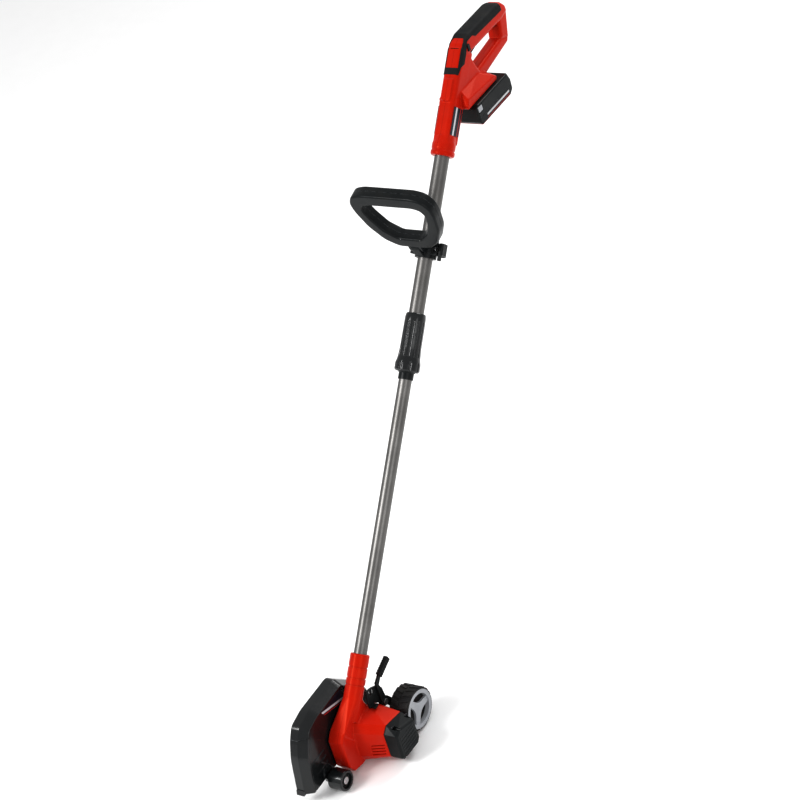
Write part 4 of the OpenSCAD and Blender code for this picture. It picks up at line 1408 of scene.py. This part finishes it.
@dataclass
class DepthWheel:
    """Slotted quadrant, depth lever with its ribbed grip, and the rear wheel."""

    bench: Bench
    centre: tuple[float, float] = (108.5, -3.5)
    x0: float = 26.0
    width: float = 40.0
    radius: float = 38.5
    blocks: int = 20

    def tyre(self) -> None:
        """Tyre carcass with two rows of slanted tread blocks."""
        y, z = self.centre
        r, w = self.radius, self.width
        form = Form()
        form.turned([(r - 7, 0.6), (r - 3.6, 0.6), (r - 2.6, 1.8), (r - 2.1, 4.5), (r - 2.1, w - 4.5),
                     (r - 2.6, w - 1.8), (r - 3.5, w - 0.4), (r - 3.5, w - 4), (r - 7, w - 4)],
                    about_x(y, z, self.x0), 120)
        parts = [form.piece("tyre_carcass")]
        tool = self.bench.repeat[Pattern.ROUND]
        pitch, slant = math.tau / self.blocks, 2.6
        for row, (near, far, step) in enumerate(((1.2, 18.6, 1.6), (w - 1.2, w - 18.6, -1.6))):
            points = []
            for start, a, b, height in ((near, 3.9, 3.5, r - 3.4), (near + step, 3.3, 2.9, r - 0.35)):
                ends = ((start, slant - a), (start, slant + b), (far, a - slant), (far, -b - slant))
                points += [Vector((x, across, height)) for x, across in ends]
            block = Form()
            block.hull(points)
            part = edged(block.piece("block"), 0.45, 2, 20)
            turn = Matrix.Translation((self.x0, y, z)) @ Matrix.Rotation(pitch / 2 * row, 4, "X")
            parts.append(tool.make("tread", part, self.bench.finishes["tyre_rubber"], turn,
                                   count=self.blocks, step=(pitch, 0, 0), scatter=0.004, seed=21 + row))
        self.bench.fit(joined("wheel_tyre_piece", parts), "wheel_tyre")

    def build(self) -> None:
        """Builds the whole sub-assembly."""
        self.tyre()
        # hub_plastic carries painted shade on the hub's deep side.
        self.bench.refined("wheel_hub", 0.8, 3, finish="hub_plastic")
        for node, edge in (("wheel_axle", 0.4), ("depth_quadrant", 0.5), ("depth_lever", 0.7),
                           ("lever_grip", 0.5), ("lever_pin", 0.4)):
            self.bench.refined(node, edge, 2)


# ---------------------------------------------------------------- room

@dataclass
class Studio:
    """Pale floor, soft lights and the camera."""

    azimuth: float = 42.71
    elevation: float = 33.46
    roll: float = -19.34
    distance: float = 4.2
    lens: float = 112.5
    aim: tuple[float, float, float] = (-0.0028, 0.3905, 0.4337)
    middle: tuple[float, float, float] = (0.0, 0.4, 0.45)
    floor_z: float = -0.0425

    def floor(self) -> None:
        """A plain pale floor."""
        form = Form()
        side = 9000.0
        form.loft([[Vector((sx * side, sy * side, self.floor_z / MM - d)) for sx, sy in
                    ((-1, -1), (1, -1), (1, 1), (-1, 1))] for d in (10, 0)])
        made = form.piece("floor")
        paint = Paint("floor_paint")
        skin = paint.use(KIT.grain, Colour=(0.93, 0.93, 0.93), Shade=(0.92, 0.92, 0.92), Grain=4.0,
                         Roughness=0.85, Spread=0.05)
        paint.finish(Base_Color=skin.outputs["Colour"], Roughness=skin.outputs["Roughness"])
        made.data.materials.append(paint.material)

    def light(self, name: str, spot: Sequence[float], size: float, power: float) -> None:
        """Adds one soft square light that faces the middle of the tool.

        Args:
            name: name of the light.
            spot: where it stands, in metres.
            size: its side, in metres.
            power: its power in watts.
        """
        data = bpy.data.lights.new(name, "AREA")
        data.size, data.energy = size, power
        lamp = placed(name, data)
        lamp.location = spot
        lamp.rotation_euler = (Vector(self.middle) - Vector(spot)).to_track_quat("-Z", "Y").to_euler()

    def camera(self) -> None:
        """Adds the camera at its viewing angle."""
        az, el = math.radians(self.azimuth), math.radians(self.elevation)
        back = Vector((math.sin(az) * math.cos(el), -math.cos(az) * math.cos(el), math.sin(el)))
        data = bpy.data.cameras.new("camera")
        data.lens, data.sensor_width = self.lens, 36.0
        data.clip_start, data.clip_end = 0.1, 60.0
        made = placed("camera", data)
        made.location = Vector(self.aim) + back * self.distance
        turn = (-back).to_track_quat("-Z", "Y") @ Quaternion((0, 0, 1), math.radians(self.roll))
        made.rotation_euler = turn.to_euler()
        bpy.context.scene.camera = made

    def build(self) -> None:
        """Builds the room."""
        self.floor()
        self.camera()
        self.light("key", (-1.5, -2.1, 2.7), 1.2, 84)
        self.light("fill", (2.8, -1.2, 1.6), 1.6, 24)
        self.light("rim", (0.6, 2.9, 2.6), 1.8, 60)
        world = bpy.data.worlds.new("studio")
        world.use_nodes = True
        world.node_tree.nodes["Background"].inputs["Color"].default_value = (1, 1, 1, 1)
        world.node_tree.nodes["Background"].inputs["Strength"].default_value = 0.75
        bpy.context.scene.world = world
        view = bpy.context.scene.view_settings
        view.view_transform = "Standard"
        view.gamma = 0.78


def main() -> None:
    """Builds every sub-assembly in order."""
    logging.basicConfig(level=logging.INFO, format="%(name)s %(message)s")
    bench = Bench()
    screws = Screws(bench)
    Studio().build()
    RearHandle(bench).build(screws)
    BatteryPack(bench).build()
    Shaft(bench).build()
    SecondHandle(bench).build(screws)
    HeadHousing(bench).build(screws)
    Guard(bench).build(screws)
    DepthWheel(bench).build()
    bench.rest()


if __name__ == "__main__":
    main()
